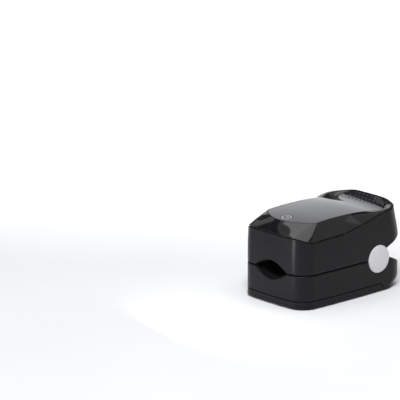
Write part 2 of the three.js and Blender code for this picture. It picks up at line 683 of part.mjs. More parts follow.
place(lowerJaw, 'contact_rear_right', contactPlate(7, 15, 22.1, 2.8, 10), STEEL);
LOWER_SCREWS.forEach(([x, y], i) => {
  place(lowerJaw, `lower_screw_${i + 1}`, screw(x, y, 1.5, 1.9, 1.2, 5.3, 0.8), STEEL);
});

[['left', -1], ['right', 1]].forEach(([name, side]) => {
  place(lowerJaw, `pivot_cap_${name}`, pivotCap(side), WHITE);
  place(lowerJaw, `hinge_pin_${name}`, hingePin(side), STEEL);
  place(lowerJaw, `hinge_spring_${name}`, hingeSpring(side), STEEL);
});
place(lowerJaw, 'flex_cable', flexCable(), FLEX_AMBER);

const oximeter = new THREE.Group();
oximeter.add(upperJaw, lowerJaw);
export default oximeter;
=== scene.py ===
"""Looks of a fingertip pulse oximeter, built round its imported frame.

Two moulded jaws on a sprung hinge, a piano-black top with a smoked window and a round key,
near-white pivot caps, silicone finger pads, and two AAA cells under a slide-off cover.
Shapes are worked out in millimetres in the row frame, +Z up, with the finger going in from -Y.
They become metres when a mesh is made.
"""

import json  # noqa: E402
import logging  # noqa: E402
import math  # noqa: E402
from dataclasses import dataclass, field  # noqa: E402
from enum import Enum  # noqa: E402
from typing import Callable  # noqa: E402

import bpy  # noqa: E402
import numpy as np  # noqa: E402
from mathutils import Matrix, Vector  # noqa: E402

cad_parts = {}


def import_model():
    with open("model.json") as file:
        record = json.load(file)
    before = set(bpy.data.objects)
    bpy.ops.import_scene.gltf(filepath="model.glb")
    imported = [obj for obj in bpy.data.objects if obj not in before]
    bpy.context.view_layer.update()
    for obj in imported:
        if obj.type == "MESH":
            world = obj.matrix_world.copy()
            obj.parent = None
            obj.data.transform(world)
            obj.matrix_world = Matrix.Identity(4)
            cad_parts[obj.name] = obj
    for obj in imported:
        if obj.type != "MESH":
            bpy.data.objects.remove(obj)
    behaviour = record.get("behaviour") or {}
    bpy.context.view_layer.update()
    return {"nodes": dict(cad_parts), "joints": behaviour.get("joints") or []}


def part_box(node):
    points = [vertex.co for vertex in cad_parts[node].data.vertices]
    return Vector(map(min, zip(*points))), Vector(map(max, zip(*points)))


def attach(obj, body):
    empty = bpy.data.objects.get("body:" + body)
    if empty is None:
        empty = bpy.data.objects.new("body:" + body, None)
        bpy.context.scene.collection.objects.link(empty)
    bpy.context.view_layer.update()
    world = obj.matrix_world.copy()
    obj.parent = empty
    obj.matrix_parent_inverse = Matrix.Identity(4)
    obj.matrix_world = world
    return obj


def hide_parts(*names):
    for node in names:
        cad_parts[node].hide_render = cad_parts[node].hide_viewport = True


logging.basicConfig(level=logging.INFO, format="%(message)s")
log = logging.getLogger("oximeter")

Array = np.ndarray
Colour = tuple[float, float, float]
Triple = tuple[float, float, float]
MM = 0.001
# Room between pieces that meet, wall thickness, play round a pivot cap, and how far a plate
# stays off a face so that the two never share it: all in millimetres.
GAP = 0.3
WALL = 1.8
CAP_PLAY = 0.25
HAIR = 0.02


class Body(str, Enum):
    """The rigid bodies that pieces ride on."""

    LOWER = "lower_jaw"
    UPPER = "upper_jaw"
    KEY = "power_key"
    COVER = "cover"


class Slot(str, Enum):
    """The record's material slots."""

    SATIN = "satin_black_abs"
    GLOSS = "gloss_black_abs"
    LENS = "smoked_lens"
    CAP = "white_cap"
    SILICONE = "black_silicone"
    INNER = "inner_black"
    BOARD = "board_green"
    WINDOW = "clear_window"
    CELL = "cell_wrap"
    FLEX = "flex_amber"
    STEEL = "spring_steel"


# ---------------------------------------------------------------- curves and plans
@dataclass(frozen=True)
class Spline:
    """A cubic spline through (place, value) knots that leaves both ends level."""

    knots: tuple[tuple[float, float], ...]

    def __call__(self, place: Array) -> Array:
        """Evaluates the curve: on each span, the cubic whose second derivative runs straight.

        Args:
            place: where to read the curve, in millimetres.

        Returns:
            The curve's value at each place. Past the ends it keeps the end value.
        """
        at, value = np.array(self.knots, float).T
        span, rise = np.diff(at), np.diff(value)
        slope = np.concatenate([[0.0], rise / span, [0.0]])
        weights = np.diag(2 * (np.append(span, 0) + np.append(0, span)))
        weights += np.diag(span, 1) + np.diag(span, -1)
        bend = np.linalg.solve(weights, 6 * np.diff(slope))
        place = np.clip(place, at[0], at[-1])
        i = np.clip(np.searchsorted(at, place, side="right") - 1, 0, len(span) - 1)
        ahead, behind = at[i + 1] - place, place - at[i]
        cubic = (bend[i] * ahead**3 + bend[i + 1] * behind**3) / (6 * span[i])
        start = (value[i] / span[i] - bend[i] * span[i] / 6) * ahead
        end = (value[i + 1] / span[i] - bend[i + 1] * span[i] / 6) * behind
        return cubic + start + end


@dataclass(frozen=True)
class Plan:
    """A rounded rectangle seen from above, with a bowed front and bowed sides.

    Its points run counter-clockwise from the front right corner. Two plans with the same
    number of steps have matching points, so a surface can run from one to the other.
    """

    half: float
    front: float
    rear: float
    front_radius: float
    rear_radius: float
    front_bow: float = 0.0
    side_bow: float = 0.0
    keep_front_radius: bool = False
    corner_steps: int = 24
    side_steps: int = 84
    end_steps: int = 60
    crowd: tuple[float, ...] = ()

    def _walk(self) -> tuple[Array, Array, Array, Array, Array]:
        """Gives each point's two corners, their arc angles and the share between them.

        Returns:
            First corner, its angle, second corner, its angle and share, one entry per point.
        """
        columns: list[Array] = []
        low = self.front + self.front_bow + self.front_radius
        high = self.rear - self.rear_radius
        crowd = (np.array(self.crowd, float) - low) / (high - low)
        even = np.linspace(0, 1, self.side_steps + 1)[1:-1]
        side = np.union1d(even, crowd) if self.crowd else even
        end = np.linspace(0, 1, self.end_steps + 1)[1:-1]
        for corner, shares in enumerate((side, end, 1 - side[::-1], end)):
            start = math.radians(90 * corner - 90)
            turn = start + np.linspace(0, math.pi / 2, self.corner_steps + 1)
            here = np.full_like(turn, corner)
            columns.append(np.stack([here, turn, here, turn, 0 * turn]))
            rest = np.ones_like(shares)
            after = (corner + 1) % 4
            final = start + math.pi / 2
            columns.append(
                np.stack([corner * rest, final * rest, after * rest, final * rest, shares])
            )
        first, a, second, b, share = np.concatenate(columns, axis=1)
        return first.astype(int), a, second.astype(int), b, share

    def _corner(self, corner: Array, angle: Array, inset: Array, rear_inset: Array) -> Array:
        """Points on the corner arcs: the arc's centre plus the radius along the angle.

        Args:
            corner: corner number, from 0 at the front right, counter-clockwise.
            angle: where on the arc, in radians.
            inset: how far the sides and the front move in.
            rear_inset: how far the rear moves in.

        Returns:
            X and Y stacked on the first axis.
        """
        at_front = (corner == 0) | (corner == 3)
        side = np.where(corner < 2, 1.0, -1.0)
        kept = self.front_radius + 0 * inset
        front_radius = kept if self.keep_front_radius else np.maximum(kept - inset, 0.6)
        rear_radius = np.maximum(self.rear_radius - inset, 0.6)
        radius = np.where(at_front, front_radius, rear_radius)
        half = self.half - self.side_bow - inset
        centre_x = side * (half - radius)
        front_y = self.front + self.front_bow + inset + front_radius
        centre_y = np.where(at_front, front_y, self.rear - rear_inset - rear_radius)
        return np.stack(
            [centre_x + radius * np.cos(angle), centre_y + radius * np.sin(angle)]
        )

    def points(self, inset: Array | float = 0.0, rear_inset: Array | float | None = None) -> Array:
        """The plan moved in, then bowed: the middle of each side swells out by a parabola.

        Args:
            inset: how far the plan moves in, as a number or as rows by columns.
            rear_inset: the same for the rear edge, or None for the same inset.

        Returns:
            X and Y stacked on the first axis, over the broadcast rows and columns.
        """
        inset = np.asarray(inset, float)
        rear_inset = inset if rear_inset is None else np.asarray(rear_inset, float)
        first, a, second, b, share = self._walk()
        from_a = self._corner(first, a, inset, rear_inset)
        to_b = self._corner(second, b, inset, rear_inset)
        x, y = from_a + share * (to_b - from_a)
        half = self.half - self.side_bow - inset
        front, rear = self.front + inset, self.rear - rear_inset
        along = 1 - (y / np.where(y < 0, front, rear)) ** 2
        across = 1 - (x / half) ** 2
        swell = self.front_bow / -(front + self.front_bow)
        return np.stack(
            [x * (1 + self.side_bow / half * along), np.where(y < 0, y * (1 + swell * across), y)]
        )

    def half_width(self, place: Array, inset: float, rear_inset: float) -> Array:
        """Half the plan's width at places along Y.

        Args:
            place: Y, in millimetres.
            inset: how far the sides move in.
            rear_inset: how far the rear moves in.

        Returns:
            Half widths, in millimetres.
        """
        x, y = self.points(inset, rear_inset)
        right = (x > 0) & (y > 0)
        order = np.argsort(y[right])
        return np.interp(place, y[right][order], x[right][order])


def stack(*layers: Array) -> Array:
    """Puts rows-by-columns layers one above another, all as wide as the widest.

    Args:
        layers: single rows, columns or whole layers.

    Returns:
        The layers in one array.
    """
    columns = max(np.shape(layer)[-1] for layer in layers)
    rows = [np.broadcast_to(layer, (len(layer), columns)) for layer in map(np.atleast_2d, layers)]
    return np.concatenate(rows)


def column(values: Array) -> Array:
    """Turns a list of row values into a column, ready to broadcast over plan points."""
    return np.asarray(values, float)[:, None]


# ---------------------------------------------------------------- closed surfaces
@dataclass
class Surface:
    """A closed shell of quads and triangles, in millimetres, facing outwards."""

    points: Array
    quads: Array
    tris: Array = field(default_factory=lambda: np.zeros((0, 3), int))
    material: int = 0

    def __post_init__(self) -> None:
        """Turns the faces over if the enclosed volume comes out negative."""
        halves = [self.quads[:, [0, 1, 2]], self.quads[:, [0, 2, 3]], self.tris]
        a, b, c = self.points[np.concatenate(halves)].transpose(1, 0, 2)
        if np.einsum("ij,ij->", a, np.cross(b, c)) < 0:
            self.quads, self.tris = self.quads[:, ::-1], self.tris[:, ::-1]


def ring_surface(grid: Array, looped: bool = False, material: int = 0) -> Surface:
    """Skins a stack of closed rings.

    Args:
        grid: rows by columns by XYZ. The columns close on themselves.
        looped: True if the last row joins the first, False to close both ends with fans.
        material: material slot of the shell.

    Returns:
        The closed shell.
    """
    rows, cols = grid.shape[:2]
    number = np.arange(rows * cols).reshape(rows, cols)
    around = np.roll(number, -1, axis=1)
    if looped:
        above, above_next = np.roll(number, -1, axis=0), np.roll(around, -1, axis=0)
        quads = np.stack([number, around, above_next, above], -1).reshape(-1, 4)
        return Surface(grid.reshape(-1, 3), quads, material=material)
    quads = np.stack([number[:-1], around[:-1], around[1:], number[1:]], -1).reshape(-1, 4)
    middles = grid[[0, -1]].mean(axis=1)
    start = np.stack([np.full(cols, rows * cols), around[0], number[0]], -1)
    end = np.stack([np.full(cols, rows * cols + 1), number[-1], around[-1]], -1)
    points = np.concatenate([grid.reshape(-1, 3), middles])
    return Surface(points, quads, np.concatenate([start, end]), material)


def plate_surface(top: Array, bottom: Array) -> Surface:
    """Closes two equal grids into one plate by walling their four edges.

    Args:
        top: rows by columns by XYZ of one face.
        bottom: the same for the other face.

    Returns:
        The closed plate.
    """
    rows, cols = top.shape[:2]
    above = np.arange(rows * cols).reshape(rows, cols)
    under = above + rows * cols
    faces = []
    for number, step in ((above, 1), (under, -1)):
        quads = [number[:-1, :-1], number[:-1, 1:], number[1:, 1:], number[1:, :-1]]
        faces.append(np.stack(quads[::step], -1).reshape(-1, 4))
    rims = [above[0], above[:, -1], above[-1][::-1], above[:, 0][::-1]]
    rim = np.concatenate([edge[:-1] for edge in rims])
    after = np.roll(rim, -1)
    faces.append(np.stack([after, rim, rim + rows * cols, after + rows * cols], -1))
    points = np.concatenate([top.reshape(-1, 3), bottom.reshape(-1, 3)])
    return Surface(points, np.concatenate(faces))


def round_block(low: Array, high: Array, corner: float, edge: float) -> Surface:
    """A block with round upright corners and rolled upper and lower edges.

    Args:
        low: lowest corner.
        high: highest corner.
        corner: radius of the upright corners.
        edge: radius of the rolled edges.

    Returns:
        The closed block: quarter-circle rows at the bottom and the top join straight walls.
    """
    low, high = np.asarray(low, float), np.asarray(high, float)
    middle = (low + high) / 2
    reach = (high - low) / 2
    steps = {"corner_steps": 6, "side_steps": 4, "end_steps": 4}
    plan = Plan(reach[0], -reach[1], reach[1], corner, corner, **steps)
    turn = np.linspace(0, math.pi / 2, 5)
    inset = edge * (1 - np.concatenate([np.sin(turn), np.cos(turn)]))
    z = np.concatenate([low[2] + edge * (1 - np.cos(turn)), high[2] - edge * (1 - np.sin(turn))])
    x, y = plan.points(column(inset))
    grid = np.stack([x + middle[0], y + middle[1], np.broadcast_to(column(z), x.shape)], -1)
    return ring_surface(grid)


def revolve(
    profile: Array,
    origin: Array,
    axis: Array,
    sides: int = 64,
    looped: bool = False,
    material: int = 0,
) -> Surface:
    """Turns a (radius, height) profile about an axis: origin + height along it + radius round it.

    Args:
        profile: radius and height of each row.
        origin: where height is zero.
        axis: the unit direction of height.
        sides: steps round the axis.
        looped: True if the profile closes on itself, False to cap its ends.
        material: material slot of the shell.

    Returns:
        The closed shell.
    """
    along = np.asarray(axis, float)
    side = np.cross(along, np.roll(along, 1))
    other = np.cross(along, side)
    angle = np.linspace(0, 2 * math.pi, sides, endpoint=False)
    spoke = np.cos(angle)[:, None] * side + np.sin(angle)[:, None] * other
    radius, height = np.asarray(profile, float).T
    grid = np.asarray(origin, float) + height[:, None, None] * along + radius[:, None, None] * spoke
    return ring_surface(grid, looped, material)


def wire_surface(path: Array, radius: float, sides: int = 10) -> Surface:
    """A round wire: circles carried along a path, square to its tangent, with closed ends.

    Args:
        path: points along the wire.
        radius: radius of the wire.
        sides: steps round the wire.

    Returns:
        The closed shell.
    """
    tangent = np.gradient(path, axis=0)
    tangent /= np.linalg.norm(tangent, axis=1, keepdims=True)
    off_every_axis = np.array([1.0, 0.17, 0.06])
    side = np.cross(tangent, off_every_axis)
    side /= np.linalg.norm(side, axis=1, keepdims=True)
    other = np.cross(tangent, side)
    angle = np.linspace(0, 2 * math.pi, sides, endpoint=False)
    cos, sin = np.cos(angle)[None, :, None], np.sin(angle)[None, :, None]
    return ring_surface(path[:, None] + radius * (cos * side[:, None] + sin * other[:, None]))


def smooth_path(points: Array, steps: int) -> Array:
    """A Catmull-Rom curve through points: on each span, the cubic with its neighbours' slope.

    Args:
        points: the points that the curve passes.
        steps: samples on each span.

    Returns:
        Points along the curve.
    """
    points = np.asarray(points, float)
    before, a, b, after = (
        np.concatenate([points[:1], points[:-2]]),
        points[:-1],
        points[1:],
        np.concatenate([points[2:], points[-1:]]),
    )
    t = np.linspace(0, 1, steps, endpoint=False)[None, :, None]
    before, a, b, after = (side[:, None] for side in (before, a, b, after))
    third = 3 * (a - b) + after - before
    second = 2 * before - 5 * a + 4 * b - after
    curve = a + 0.5 * t * (b - before + t * (second + t * third))
    return np.concatenate([curve.reshape(-1, points.shape[1]), points[-1:]])


# ---------------------------------------------------------------- meshes and pieces
def to_object(name: str, shells: list[Surface]) -> bpy.types.Object:
    """Puts closed shells into one smooth-shaded mesh object at the origin.

    Args:
        name: name of the object.
        shells: its closed shells, in millimetres.

    Returns:
        The object, in metres.
    """
    offsets = np.cumsum([0] + [len(shell.points) for shell in shells])
    faces: list[list[int]] = []
    materials: list[int] = []
    for shell, offset in zip(shells, offsets):
        faces += (shell.quads + offset).tolist() + (shell.tris + offset).tolist()
        materials += [shell.material] * (len(shell.quads) + len(shell.tris))
    mesh = bpy.data.meshes.new(name)
    mesh.from_pydata((np.concatenate([shell.points for shell in shells]) * MM).tolist(), [], faces)
    mesh.polygons.foreach_set("material_index", materials)
    mesh.polygons.foreach_set("use_smooth", [True] * len(faces))
    mesh.update()
    made = bpy.data.objects.new(name, mesh)
    bpy.context.scene.collection.objects.link(made)
    return made


def cut_away(piece: bpy.types.Object, tools: list[Surface]) -> None:
    """Cuts closed shells out of a piece and applies the result to its mesh.

    Args:
        piece: the object that is cut.
        tools: the shells whose room is removed.
    """
    for tool in tools:
        cutter = to_object("cutter", [tool])
        modifier = piece.modifiers.new("cut", "BOOLEAN")
        modifier.operation = "DIFFERENCE"
        modifier.solver = "EXACT"
        modifier.object = cutter
        graph = bpy.context.evaluated_depsgraph_get()
        cut = bpy.data.meshes.new_from_object(piece.evaluated_get(graph))
        piece.modifiers.clear()
        old, piece.data = piece.data, cut
        bpy.data.meshes.remove(old)
        bpy.data.objects.remove(cutter)
    piece.data.polygons.foreach_set("use_smooth", [True] * len(piece.data.polygons))


def finish_piece(
    piece: bpy.types.Object,
    body: Body,
    slot: Slot,
    materials: list[bpy.types.Material],
    stands_for: tuple[str, ...] = (),
    crease: float = 32.0,
) -> bpy.types.Object:
    """Dresses a piece, sharpens its creases and mounts it on its body.

    Args:
        piece: the object.
        body: the body it rides on.
        slot: the record's slot for its finish; not used.
        materials: its materials, in slot order.
        stands_for: the CAD nodes that it stands for.
        crease: faces that meet at more than this angle keep a sharp edge, in degrees.

    Returns:
        The same object.
    """
    piece.data.materials.clear()
    for material in materials:
        piece.data.materials.append(material)
    piece.data.set_sharp_from_angle(angle=math.radians(crease))
    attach(piece, body.value)
    if stands_for:
        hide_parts(*stands_for)
    log.info("%s: %d faces on %s", piece.name, len(piece.data.polygons), body.value)
    return piece


# ---------------------------------------------------------------- finishes
class Graph:
    """A material's node tree, with a short call for each kind of node that the finishes use."""

    def __init__(self, name: str, **sockets: float | tuple[float, ...]) -> None:
        """Starts a material with a Principled shader.

        Args:
            name: name of the material.
            sockets: values set on the shader's own sockets, with _ for a space.
        """
        self.material = bpy.data.materials.new(name)
        self.material.use_nodes = True
        self.tree = self.material.node_tree
        self.shader = self.tree.nodes["Principled BSDF"]
        self.place = self.tree.nodes.new("ShaderNodeTexCoord").outputs["Object"]
        for socket, value in sockets.items():
            self.shader.inputs[socket.replace("_", " ")].default_value = value

    def link(self, source: bpy.types.NodeSocket, target: bpy.types.NodeSocket) -> None:
        """Joins two sockets."""
        self.tree.links.new(source, target)

    def stretched(self, scale: Triple) -> bpy.types.NodeSocket:
        """Object coordinates scaled along each axis.

        Args:
            scale: factor for X, Y and Z.

        Returns:
            The scaled coordinates.
        """
        mapping = self.tree.nodes.new("ShaderNodeMapping")
        mapping.inputs["Scale"].default_value = scale
        self.link(self.place, mapping.inputs["Vector"])
        return mapping.outputs["Vector"]

    def noise(
        self, scale: float, detail: float = 3.0, place: bpy.types.NodeSocket | None = None
    ) -> bpy.types.NodeSocket:
        """A noise pattern.

        Args:
            scale: patterns per metre.
            detail: octaves.
            place: coordinates, or None for Object.

        Returns:
            The pattern, from 0 to 1.
        """
        node = self.tree.nodes.new("ShaderNodeTexNoise")
        node.inputs["Scale"].default_value = scale
        node.inputs["Detail"].default_value = detail
        self.link(place or self.place, node.inputs["Vector"])
        return node.outputs["Fac"]

    def ramp(self, source: bpy.types.NodeSocket, *stops: tuple[float, Colour]) -> bpy.types.NodeSocket:
        """Maps a value to a colour.

        Args:
            source: the value.
            stops: pairs of position and colour, in rising order.

        Returns:
            The colour.
        """
        node = self.tree.nodes.new("ShaderNodeValToRGB")
        elements = node.color_ramp.elements
        while len(elements) < len(stops):
            elements.new(1.0)
        for element, (position, colour) in zip(elements, stops):
            element.position = position
            element.color = (*colour, 1.0)
        self.link(source, node.inputs["Fac"])
        return node.outputs["Color"]

    def spread(self, source: bpy.types.NodeSocket, low: float, high: float) -> bpy.types.NodeSocket:
        """Maps the middle of a pattern, from 0.3 to 0.7, to a new range.

        Args:
            source: the pattern.
            low: value for 0.3.
            high: value for 0.7.

        Returns:
            The mapped value.
        """
        node = self.tree.nodes.new("ShaderNodeMapRange")
        node.inputs["From Min"].default_value = 0.3
        node.inputs["From Max"].default_value = 0.7
        node.inputs["To Min"].default_value = low
        node.inputs["To Max"].default_value = high
        self.link(source, node.inputs["Value"])
        return node.outputs["Result"]

    def work_out(self, operation: str, *terms: bpy.types.NodeSocket | float) -> bpy.types.NodeSocket:
        """One arithmetic step.

        Args:
            operation: name of the step.
            terms: values or plain numbers that go into it.

        Returns:
            Its result.
        """
        node = self.tree.nodes.new("ShaderNodeMath")
        node.operation = operation
        for socket, term in zip(node.inputs, terms):
            if isinstance(term, (int, float)):
                socket.default_value = term
            else:
                self.link(term, socket)
        return node.outputs[0]

    def axis(self, name: str) -> bpy.types.NodeSocket:
        """One Object coordinate, in metres.

        Args:
            name: X, Y or Z.

        Returns:
            The coordinate.
        """
        node = self.tree.nodes.new("ShaderNodeSeparateXYZ")
        self.link(self.place, node.inputs[0])
        return node.outputs[name]

    def blend(
        self, share: bpy.types.NodeSocket, first: bpy.types.NodeSocket, second: bpy.types.NodeSocket
    ) -> bpy.types.NodeSocket:
        """Mixes two colours.

        Args:
            share: 0 for the first colour, 1 for the second.
            first: the first colour.
            second: the second colour.

        Returns:
            The mix.
        """
        node = self.tree.nodes.new("ShaderNodeMix")
        node.data_type = "RGBA"
        self.link(share, node.inputs["Factor"])
        self.link(first, node.inputs[6])
        self.link(second, node.inputs[7])
        return node.outputs[2]

    def bump(self, *layers: tuple[bpy.types.NodeSocket, float, float]) -> None:
        """Stacks bump layers onto the shader's normal.

        Args:
            layers: height pattern, strength and depth in metres of each layer.
        """
        normal = None
        for height, strength, depth in layers:
            node = self.tree.nodes.new("ShaderNodeBump")
            node.inputs["Strength"].default_value = strength
            node.inputs["Distance"].default_value = depth
            self.link(height, node.inputs["Height"])
            if normal is not None:
                self.link(normal, node.inputs["Normal"])
            normal = node.outputs["Normal"]
        self.link(normal, self.shader.inputs["Normal"])

    def highlight_edge_mask(self) -> bpy.types.NodeSocket:
        """Finds outside edges from the mesh's own sharpness, where a painted highlight goes.

        Returns:
            A mask that is 1 on outside edges, broken up by noise.
        """
        sharpness = self.tree.nodes.new("ShaderNodeNewGeometry").outputs["Pointiness"]
        edge = self.ramp(sharpness, (0.52, (0, 0, 0)), (0.62, (1, 1, 1)))
        return self.work_out("MULTIPLY", edge, self.noise(700.0))


@dataclass(frozen=True)
class SatinPlastic:
    """Spark-textured satin plastic: a fine grain, faint handling marks and a painted highlight on its
    outside edges.
    """

    name: str
    colour: Colour
    roughness: float = 0.42
    specular: float = 0.17
    grain: float = 0.3
    mottle: float = 0.14
    # How much lighter the outside edges are painted: a painted highlight standing in for light caught by
    # rounded edges.
    edge_highlight: float = 1.9

    def build(self) -> bpy.types.Material:
        """Makes the material."""
        graph = Graph(self.name, Specular_IOR_Level=self.specular)
        shades = (1 - self.mottle, 1 + self.mottle, self.edge_highlight)
        # The edge colour is a painted highlight: outside edges found by sharpness are drawn lighter, as
        # light on rounded edges would show.
        darker, lighter, edge_highlight_colour = (tuple(c * shade for c in self.colour) for shade in shades)
        base = graph.ramp(graph.noise(260.0, 5.0), (0.3, darker), (0.7, lighter))
        painted_highlight = graph.ramp(graph.noise(900.0), (0.2, edge_highlight_colour), (0.8, lighter))
        graph.link(graph.blend(graph.highlight_edge_mask(), base, painted_highlight), graph.shader.inputs["Base Color"])
        gloss = graph.spread(graph.noise(120.0, 6.0), self.roughness * 0.92, self.roughness * 1.1)
        graph.link(gloss, graph.shader.inputs["Roughness"])
        graph.bump(
            (graph.noise(7000.0, 2.0), self.grain, 0.00002),
            (graph.noise(150.0, 1.0), 0.08, 0.0001),
        )
        return graph.material


@dataclass(frozen=True)
class PianoGloss:
    """Polished black plastic: hairline scratches, a trace of dust and a faint moulding wave."""

    name: str
    colour: Colour
    roughness: float = 0.05

    def build(self) -> bpy.types.Material:
        """Makes the material."""
        graph = Graph(self.name, Specular_IOR_Level=0.5, Coat_Weight=0.25, Coat_Roughness=0.03)
        lighter = tuple(c * 1.8 + 0.002 for c in self.colour)
        graph.link(
            graph.ramp(graph.noise(340.0, 6.0), (0.35, self.colour), (0.75, lighter)),
            graph.shader.inputs["Base Color"],
        )
        scratches = graph.noise(1.0, 4.0, graph.stretched((5200.0, 340.0, 900.0)))
        graph.link(
            graph.spread(scratches, self.roughness, self.roughness * 1.8),
            graph.shader.inputs["Roughness"],
        )
        graph.bump((graph.noise(90.0, 1.0), 0.03, 0.0002), (scratches, 0.02, 0.00001))
        return graph.material


@dataclass(frozen=True)
class SmokedWindow:
    """Smoked acrylic, printed black on its back except over the display."""

    name: str
    middle: tuple[float, float]
    reach: tuple[float, float]
    border: Colour = (0.008, 0.008, 0.0095)
    screen: Colour = (0.017, 0.019, 0.022)
    fade: float = 0.25

    def build(self) -> bpy.types.Material:
        """Makes the material: a soft-edged rectangle shows where the display lies."""
        graph = Graph(self.name, Specular_IOR_Level=0.5, Coat_Weight=0.4, Coat_Roughness=0.02)
        sides = []
        for axis, middle, reach in zip("XY", self.middle, self.reach):
            away = graph.work_out("ABSOLUTE", graph.work_out("SUBTRACT", graph.axis(axis), middle * MM))
            edge = graph.tree.nodes.new("ShaderNodeMapRange")
            edge.interpolation_type = "SMOOTHSTEP"
            edge.inputs["From Min"].default_value = reach * MM
            edge.inputs["From Max"].default_value = (reach + self.fade) * MM
            edge.inputs["To Min"].default_value = 1.0
            edge.inputs["To Max"].default_value = 0.0
            graph.link(away, edge.inputs["Value"])
            sides.append(edge.outputs["Result"])
        speckle = graph.noise(1500.0, 4.0)
        border = graph.ramp(speckle, (0.3, self.border), (0.8, tuple(c * 1.3 for c in self.border)))
        screen = graph.ramp(speckle, (0.3, self.screen), (0.8, tuple(c * 1.2 for c in self.screen)))
        inside = graph.work_out("MULTIPLY", *sides)
        graph.link(graph.blend(inside, border, screen), graph.shader.inputs["Base Color"])
        scratches = graph.noise(1.0, 4.0, graph.stretched((420.0, 4600.0, 900.0)))
        graph.link(graph.spread(scratches, 0.03, 0.07), graph.shader.inputs["Roughness"])
        graph.bump((graph.noise(70.0, 1.0), 0.02, 0.0002))
        return graph.material


@dataclass(frozen=True)
class PrintedKey:
    """The key's smoked face with a light ring and a short bar printed on it."""

    name: str
    middle: tuple[float, float]
    ring: float
    stroke: float
    ink: Colour = (0.42, 0.43, 0.45)

    def build(self) -> bpy.types.Material:
        """Makes the material: ink where the distance from the middle is near the ring's radius."""
        graph = Graph(self.name, Specular_IOR_Level=0.5, Coat_Weight=0.3, Coat_Roughness=0.03)
        across = graph.work_out("SUBTRACT", graph.axis("X"), self.middle[0] * MM)
        along = graph.work_out("SUBTRACT", graph.axis("Y"), self.middle[1] * MM)
        squares = [graph.work_out("MULTIPLY", part, part) for part in (across, along)]
        distance = graph.work_out("SQRT", graph.work_out("ADD", *squares))
        off_ring = graph.work_out("ABSOLUTE", graph.work_out("SUBTRACT", distance, self.ring * MM))
        ring = graph.work_out("LESS_THAN", off_ring, self.stroke * MM / 2)
        narrow = graph.work_out("LESS_THAN", graph.work_out("ABSOLUTE", across), self.stroke * MM * 0.45)
        off_bar = graph.work_out("ABSOLUTE", graph.work_out("SUBTRACT", along, self.ring * 0.3 * MM))
        short = graph.work_out("LESS_THAN", off_bar, self.ring * 0.32 * MM)
        mark = graph.work_out("MAXIMUM", ring, graph.work_out("MULTIPLY", narrow, short))
        speckle = graph.noise(2500.0, 4.0)
        face = graph.ramp(speckle, (0.3, (0.009, 0.009, 0.011)), (0.8, (0.013, 0.013, 0.016)))
        ink = graph.ramp(speckle, (0.25, tuple(c * 0.82 for c in self.ink)), (0.7, self.ink))
        graph.link(graph.blend(mark, face, ink), graph.shader.inputs["Base Color"])
        graph.link(graph.spread(graph.noise(1800.0), 0.05, 0.12), graph.shader.inputs["Roughness"])
        graph.bump((graph.noise(900.0, 2.0), 0.03, 0.00005))
        return graph.material


@dataclass(frozen=True)
class Silicone:
    """Soft matte silicone with a fine powdery grain."""

    name: str
    colour: Colour = (0.004, 0.004, 0.0043)

    def build(self) -> bpy.types.Material:
        """Makes the material."""
        graph = Graph(self.name, Specular_IOR_Level=0.12, Sheen_Weight=0.02, Sheen_Roughness=0.6)
        dusty = tuple(c * 1.9 + 0.001 for c in self.colour)
        graph.link(
            graph.ramp(graph.noise(420.0, 8.0), (0.4, self.colour), (0.85, dusty)),
            graph.shader.inputs["Base Color"],
        )
        graph.link(graph.spread(graph.noise(600.0, 4.0), 0.55, 0.78), graph.shader.inputs["Roughness"])
        graph.bump((graph.noise(5000.0, 3.0), 0.35, 0.00003), (graph.noise(400.0), 0.1, 0.0001))
        return graph.material


@dataclass(frozen=True)
class Metal:
    """Drawn or plated metal: streaks along one axis, stains and small pits."""

    name: str
    colour: Colour
    roughness: float = 0.26
    streak: Triple = (900.0, 7000.0, 7000.0)

    def build(self) -> bpy.types.Material:
        """Makes the material."""
        graph = Graph(self.name, Metallic=1.0)
        dull = tuple(c * 0.72 for c in self.colour)
        graph.link(
            graph.ramp(graph.noise(500.0, 6.0), (0.3, dull), (0.65, self.colour)),
            graph.shader.inputs["Base Color"],
        )
        lines = graph.noise(1.0, 3.0, graph.stretched(self.streak))
        graph.link(
            graph.spread(lines, self.roughness * 0.7, self.roughness * 1.4),
            graph.shader.inputs["Roughness"],
        )
        graph.bump((lines, 0.12, 0.00001), (graph.noise(3500.0), 0.08, 0.00001))
        return graph.material


@dataclass(frozen=True)
class SolderMask:
    """A circuit board: green mask over copper tracks, with tinned pads."""

    name: str
    mask: Colour = (0.012, 0.095, 0.04)
    track: Colour = (0.02, 0.16, 0.06)
    pad: Colour = (0.62, 0.6, 0.55)

    def build(self) -> bpy.types.Material:
        """Makes the material: brick joints are tracks and Voronoi centres are pads."""
        graph = Graph(self.name, Specular_IOR_Level=0.5)
        brick = graph.tree.nodes.new("ShaderNodeTexBrick")
        brick.inputs["Scale"].default_value = 900.0
        brick.inputs["Mortar Size"].default_value = 0.03
        brick.inputs["Color1"].default_value = (*self.mask, 1)
        brick.inputs["Color2"].default_value = (*(c * 0.85 for c in self.mask), 1)
        brick.inputs["Mortar"].default_value = (*self.track, 1)
        graph.link(graph.place, brick.inputs["Vector"])
        cells = graph.tree.nodes.new("ShaderNodeTexVoronoi")
        cells.inputs["Scale"].default_value = 420.0
        graph.link(graph.place, cells.inputs["Vector"])
        pads = graph.work_out("LESS_THAN", cells.outputs["Distance"], 0.14)
        tin = graph.ramp(graph.noise(3000.0), (0.3, tuple(c * 0.7 for c in self.pad)), (0.7, self.pad))
        graph.link(graph.blend(pads, brick.outputs["Color"], tin), graph.shader.inputs["Base Color"])
        graph.link(graph.spread(graph.noise(800.0), 0.3, 0.45), graph.shader.inputs["Roughness"])
        graph.link(pads, graph.shader.inputs["Metallic"])
        graph.bump((brick.outputs["Fac"], 0.3, 0.00003))
        return graph.material


